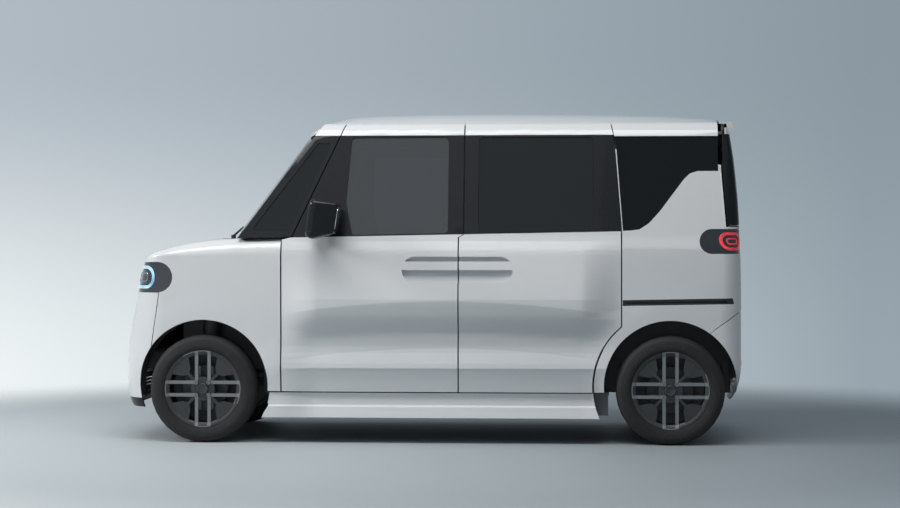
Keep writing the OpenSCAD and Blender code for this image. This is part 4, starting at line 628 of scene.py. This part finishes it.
bpy.ops.mesh.remove_doubles(threshold=0.0002)
bpy.ops.mesh.select_all(action="DESELECT")
bpy.ops.mesh.primitive_cylinder_add(vertices=40, radius=cap_r, depth=0.012,
                                    location=(first_x, face_y - 0.0055, axle_z), rotation=(math.pi / 2, 0, 0))
bpy.ops.object.mode_set(mode="OBJECT")
pick(nuts, lambda face: face.normal.y < -0.9 and len(face.vertices) > 20)
bpy.ops.mesh.inset(thickness=0.004, depth=0.002)
bpy.ops.mesh.inset(thickness=0.008, depth=-0.003)
bpy.ops.object.mode_set(mode="OBJECT")
round_edge(nuts, 0.0008)
nuts.data.materials.append(cut.material)
nuts.data.materials.append(alloy.material)
for face in nuts.data.polygons:
    face.material_index = int(math.hypot(face.center.x - first_x, face.center.z - axle_z) < cap_r + 0.001)
bpy.ops.object.shade_smooth_by_angle(angle=math.radians(32))


def copied(piece, name, place, turn=0.0):
    """Another of a finished piece, with its own mesh, turned about the upright axis and moved."""
    other = bpy.data.objects.new(name, piece.data.copy())
    scene.collection.objects.link(other)
    other.location = place
    other.rotation_euler = (0, 0, turn)
    only(other)
    bpy.ops.object.transform_apply(location=True, rotation=True, scale=True)
    return other


for wheel, (x, side) in wheels.items():
    turn = 0 if side < 0 else math.pi
    piece = nuts
    if wheel != "front_left":
        shift = (x - first_x, 0, 0) if side < 0 else (x + first_x, 0, 0)
        piece = copied(nuts, "wheel_nuts_" + wheel, shift, turn)
    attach(piece, "wheel_" + wheel)

# Brake dust shields: pressed steel dishes behind the wheels, with a hole for the hub and a turned rim.
# The front ones are screwed to the knuckles and steer with them, the rear ones to the axle.
dish_r = 0.185
dish_y = 0.067 - track_half
bpy.ops.object.select_all(action="DESELECT")
bpy.ops.mesh.primitive_circle_add(vertices=48, radius=dish_r, fill_type="NGON", location=(first_x, dish_y, axle_z),
                                  rotation=(math.pi / 2, 0, 0))
dish = bpy.context.object
dish.name = "dust_shield_front_left"
bpy.ops.object.transform_apply(location=True, rotation=True, scale=True)
bpy.ops.object.mode_set(mode="EDIT")
bpy.ops.mesh.select_all(action="SELECT")
bpy.ops.mesh.inset(thickness=0.014, depth=-0.004)
bpy.ops.mesh.inset(thickness=0.078)
bpy.ops.mesh.delete(type="FACE")
bpy.ops.object.mode_set(mode="OBJECT")
wall = dish.modifiers.new("wall", "SOLIDIFY")
wall.thickness = 0.002
bpy.ops.object.modifier_apply(modifier=wall.name)
dish.data.materials.append(steel.material)
bpy.ops.object.shade_smooth_by_angle(angle=math.radians(30))
for wheel, (x, side) in wheels.items():
    piece = dish
    if wheel != "front_left":
        piece = copied(dish, "dust_shield_" + wheel, (x - first_x if side < 0 else x + first_x, 0, 0),
                       0 if side < 0 else math.pi)
    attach(piece, wheel.replace("front", "steer") if wheel.startswith("front") else "body")

# Tyres: moulded rubber with a rounded shoulder, two deep grooves round the tread,
# and cross cuts moulded into both shoulders. The outline of one side is spun round the axle.
tyre_line = [(0.2075, -0.0700), (0.2200, -0.0800), (0.2415, -0.0825), (0.2655, -0.0775), (0.2805, -0.0660),
             (0.2880, -0.0490), (0.2890, -0.0270), (0.2820, -0.0245), (0.2820, -0.0185), (0.2895, -0.0160)]
tyre_line += [(r, -y) for r, y in reversed(tyre_line)]
tyre_line += [(0.1935, 0.0560), (0.1935, -0.0560), tyre_line[0]]
rubber = Finish("tyre_rubber", Roughness=0.72)
rubber.tint(rubber.noise(26), (0.009, 0.009, 0.010), (0.020, 0.020, 0.021))
spot = [rubber.node("ShaderNodeSeparateXYZ", out=axis, Vector=rubber.place) for axis in range(3)]
behind = rubber.node("ShaderNodeMath", {"operation": "GREATER_THAN"}, Value=spot[0])
ahead = spot[0] + 1.2 - behind * 2.5
above = spot[2] - axle_z
turn = ahead.sum_with("ARCTAN2", above)
reach = (ahead * ahead + above * above).sum_with("SQRT", 0.0)
from_middle = (spot[1].sum_with("ABSOLUTE", 0.0) - track_half).sum_with("ABSOLUTE", 0.0)
blocks = (turn * 62).sum_with("SINE", 0.0).sum_with("GREATER_THAN", -0.55)
shoulder = from_middle.sum_with("GREATER_THAN", 0.030) * reach.sum_with("GREATER_THAN", 0.268)
rings = (reach * 950).sum_with("SINE", 0.0) * 0.25 * (1 - reach.sum_with("GREATER_THAN", 0.262))
rubber.grain(blocks * shoulder - shoulder + rings + rubber.noise(700, 1.0) * 0.08, 0.004, 0.9)
bpy.ops.object.select_all(action="DESELECT")
bpy.ops.mesh.primitive_plane_add(size=0.001, location=(first_x, tyre_line[0][1] - track_half, axle_z + tyre_line[0][0]))
tyre = bpy.context.object
tyre.name = "road_tyre_front_left"
bpy.ops.object.transform_apply(location=True, rotation=True, scale=True)
bpy.ops.object.mode_set(mode="EDIT")
bpy.ops.mesh.select_mode(type="VERT")
bpy.ops.mesh.select_all(action="SELECT")
bpy.ops.mesh.merge(type="CENTER")
for (r0, y0), (r1, y1) in zip(tyre_line, tyre_line[1:]):
    bpy.ops.mesh.extrude_vertices_move(TRANSFORM_OT_translate={"value": (0, y1 - y0, r1 - r0)})
bpy.ops.mesh.select_all(action="SELECT")
bpy.ops.mesh.remove_doubles(threshold=0.0002)
bpy.ops.mesh.spin(steps=34, angle=2 * math.pi, center=(first_x, -track_half, axle_z), axis=(0, 1, 0))
bpy.ops.mesh.select_all(action="SELECT")
bpy.ops.mesh.remove_doubles(threshold=0.0002)
bpy.ops.mesh.normals_make_consistent(inside=False)
bpy.ops.object.mode_set(mode="OBJECT")
tyre.data.materials.append(rubber.material)
bpy.ops.object.shade_smooth_by_angle(angle=math.radians(40))
for wheel, (x, side) in wheels.items():
    piece = tyre
    if wheel != "front_left":
        piece = copied(tyre, "road_tyre_" + wheel, (x - first_x, 0 if side < 0 else 2 * track_half, 0))
    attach(piece, "wheel_" + wheel)
    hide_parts("tyre_" + wheel)

# Dashboard: a soft moulded panel on the bulkhead, with a free-standing display and four air vents.
# The steering wheel has a grained rim on three spokes.
dressed("dashboard", [trim], 0.006)
dressed("steering_wheel", [plastic], 0.001)
screen_glass = Finish("display_glass", Roughness=0.08, Coat_Weight=1.0, Coat_Roughness=0.03)
screen_glass.tint(screen_glass.noise(3), (0.006, 0.008, 0.010), (0.012, 0.015, 0.019))
bpy.ops.object.select_all(action="DESELECT")
bpy.ops.mesh.primitive_cube_add(size=1, location=(-0.618, 0, 1.099))
display = bpy.context.object
display.name = "display"
display.scale = (0.018, 0.27, 0.150)
bpy.ops.object.transform_apply(location=True, rotation=True, scale=True)
bpy.ops.object.mode_set(mode="EDIT")
bpy.ops.mesh.select_all(action="SELECT")
bpy.ops.transform.rotate(value=math.radians(12), orient_axis="Y", center_override=(-0.618, 0, 1.03))
bpy.ops.object.mode_set(mode="OBJECT")
round_edge(display, 0.004, segments=3)
pick(display, lambda face: face.normal.x > 0.8 and face.area > 0.02)
bpy.ops.mesh.inset(thickness=0.010, depth=-0.0012)
bpy.ops.object.mode_set(mode="OBJECT")
display.data.materials.append(plastic.material)
display.data.materials.append(screen_glass.material)
for face in display.data.polygons:
    face.material_index = 1 if face.normal.x > 0.8 and face.area > 0.02 else 0
bpy.ops.object.shade_smooth_by_angle(angle=math.radians(30))
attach(display, "body")
vent_size = (0.150, 0.046)
vent = None
for number, y in enumerate((-0.44, -0.20, 0.20, 0.44)):
    if vent is None:
        bpy.ops.object.select_all(action="DESELECT")
        bpy.ops.mesh.primitive_plane_add(size=1, location=(-0.5695, y, 0.9965),
                                         rotation=(0, math.atan2(0.070, 0.040), 0))
        vent = bpy.context.object
        vent.name = "air_vent_0"
        vent.scale = (vent_size[1], vent_size[0], 1)
        bpy.ops.object.transform_apply(location=False, rotation=False, scale=True)
        bpy.ops.object.mode_set(mode="EDIT")
        bpy.ops.mesh.select_all(action="SELECT")
        bpy.ops.mesh.extrude_region_move(TRANSFORM_OT_translate={"value": (0.0035, 0, 0.002)})
        bpy.ops.mesh.inset(thickness=0.004, depth=0.001)
        bpy.ops.mesh.subdivide(number_cuts=4)
        bpy.ops.mesh.inset(thickness=0.0012, depth=-0.002, use_individual=True)
        bpy.ops.mesh.select_all(action="SELECT")
        bpy.ops.mesh.normals_make_consistent(inside=False)
        bpy.ops.object.mode_set(mode="OBJECT")
        bpy.ops.object.transform_apply(location=True, rotation=True, scale=True)
        vent.data.materials.append(plastic.material)
        piece = vent
    else:
        piece = copied(vent, "air_vent_%d" % number, (0, y + 0.44, 0))
    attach(piece, "body")

# Seats: foam pads in sewn cloth covers on a plastic-clad base, two in front and a bench behind.
# The covers are drawn tight along their seams, so the foam stands proud between them.
cloth = Finish("seat_cloth", Roughness=0.92)
weave = [cloth.node("ShaderNodeSeparateXYZ", out=axis, Vector=cloth.place) for axis in range(3)]
weave = ((weave[1] * 1900).sum_with("SINE", 0.0) * ((weave[0] + weave[2]) * 1900).sum_with("SINE", 0.0)) * 0.5 + 0.5
cloth.tint(weave * 0.5 + cloth.noise(140) * 0.5, (0.028, 0.030, 0.033), (0.080, 0.083, 0.088))
cloth.grain(weave + cloth.noise(60) * 0.5, 0.0008, 0.5)
soft_cap = 0.024


def seat_pad(name, centre, size, lean, seams, flat_side, node):
    """A pad: a rounded block is remeshed, blown up inside a cover that is sewn down at the seams, and smoothed."""
    bpy.ops.object.select_all(action="DESELECT")
    bpy.ops.mesh.primitive_cube_add(size=1, location=(0, 0, 0))
    pad = bpy.context.object
    pad.name = name
    pad.scale = [length - 0.024 for length in size]
    bpy.ops.object.transform_apply(location=True, rotation=True, scale=True)
    bpy.ops.object.mode_set(mode="EDIT")
    bpy.ops.mesh.select_all(action="SELECT")
    bpy.ops.mesh.bevel(offset=0.36 * min(size), segments=5, affect="EDGES")
    bpy.ops.object.mode_set(mode="OBJECT")
    pad.data.remesh_voxel_size = 0.010
    bpy.ops.object.voxel_remesh()
    sewn = pad.vertex_groups.new(name="sewn")
    half = [length / 2 - 0.012 for length in size]
    down = [v.index for v in pad.data.vertices
            if v.co[flat_side[0]] * flat_side[1] > half[flat_side[0]] - 0.012
            or any(abs(v.co[axis] - at) < 0.006 for axis, at in seams)]
    sewn.add(down, 1.0, "REPLACE")
    start = [v.co.copy() for v in pad.data.vertices]
    cover = pad.modifiers.new("cover", "CLOTH")
    cover.settings.use_pressure = True
    cover.settings.uniform_pressure_force = 4
    cover.settings.effector_weights.gravity = 0
    cover.settings.vertex_group_mass = sewn.name
    cover.collision_settings.use_collision = False
    cover.point_cache.frame_start = 1
    cover.point_cache.frame_end = 20
    for step in range(1, 21):
        scene.frame_set(step)
    bpy.ops.object.modifier_apply(modifier=cover.name)
    scene.frame_set(1)
    for vertex, was in zip(pad.data.vertices, start):
        moved = vertex.co - was
        if moved.length > soft_cap:
            vertex.co = was + moved * (soft_cap / moved.length)
    smooth = pad.modifiers.new("cover", "SUBSURF")
    smooth.levels = smooth.render_levels = 1
    bpy.ops.object.modifier_apply(modifier=smooth.name)
    bpy.ops.object.shade_smooth()
    pad.location = centre
    pad.rotation_euler = (0, lean, 0)
    bpy.ops.object.transform_apply(location=True, rotation=True, scale=True)
    pad.data.materials.append(cloth.material)
    return place_pad(pad, node)


def place_pad(pad, node):
    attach(pad, "body")
    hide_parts(node)
    return pad


front_x = -0.074
front_y = 0.300
for node, x, y, width, panel in (("front_seats", front_x, -front_y, 0.470, 0.135), ("rear_bench", 0.622, 0, 1.0, 0.25)):
    pads = [
        seat_pad(node + "_cushion", (x - 0.040, y, 0.522), (0.470, width, 0.130), math.radians(4),
                 [(1, -panel), (1, panel), (0, 0.05)], (2, -1), node),
        seat_pad(node + "_back", (x + 0.262, y, 0.815), (0.105, width, 0.610), math.radians(11.5),
                 [(1, -panel), (1, panel), (2, 0.06)], (0, 1), node),
        seat_pad(node + "_head_rest", (x + 0.334, y, 1.236), (0.085, 0.260, 0.170), math.radians(5),
                 [(1, 0.0)], (0, 1), node),
    ]
    bpy.ops.object.select_all(action="DESELECT")
    bpy.ops.mesh.primitive_cube_add(size=1, location=(x - 0.020, y, 0.3715))
    base = bpy.context.object
    base.name = node + "_base"
    base.scale = (0.400, width - 0.12, 0.190)
    bpy.ops.object.transform_apply(location=True, rotation=True, scale=True)
    pick(base, lambda face: face.normal.z > 0.9)
    bpy.ops.transform.resize(value=(1.02, 1.06, 1), center_override=(x - 0.020, y, 0.46))
    bpy.ops.object.mode_set(mode="OBJECT")
    pick(base, lambda face: abs(face.normal.y) > 0.9)
    bpy.ops.mesh.inset(thickness=0.022, depth=-0.006)
    bpy.ops.object.mode_set(mode="OBJECT")
    round_edge(base, 0.006, segments=3, limit=25)
    for post_y in (-0.06, 0.06):
        bpy.ops.object.mode_set(mode="EDIT")
        bpy.ops.mesh.select_all(action="DESELECT")
        bpy.ops.mesh.primitive_cylinder_add(vertices=20, radius=0.006, depth=0.16, rotation=(0, math.radians(9), 0),
                                            location=(x + 0.330, y + post_y, 1.145))
        bpy.ops.object.mode_set(mode="OBJECT")
    base.data.materials.append(plastic.material)
    base.data.materials.append(bare.material)
    for face in base.data.polygons:
        face.material_index = 1 if face.center.z > 1.0 else 0
    bpy.ops.object.shade_smooth_by_angle(angle=math.radians(35))
    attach(base, "body")
    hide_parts(node)
    if node == "front_seats":
        for piece in pads:
            place_pad(copied(piece, piece.name + "_right", (0, 2 * front_y, 0)), node)
        other = copied(base, base.name + "_right", (0, 2 * front_y, 0))
        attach(other, "body")
        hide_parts(node)
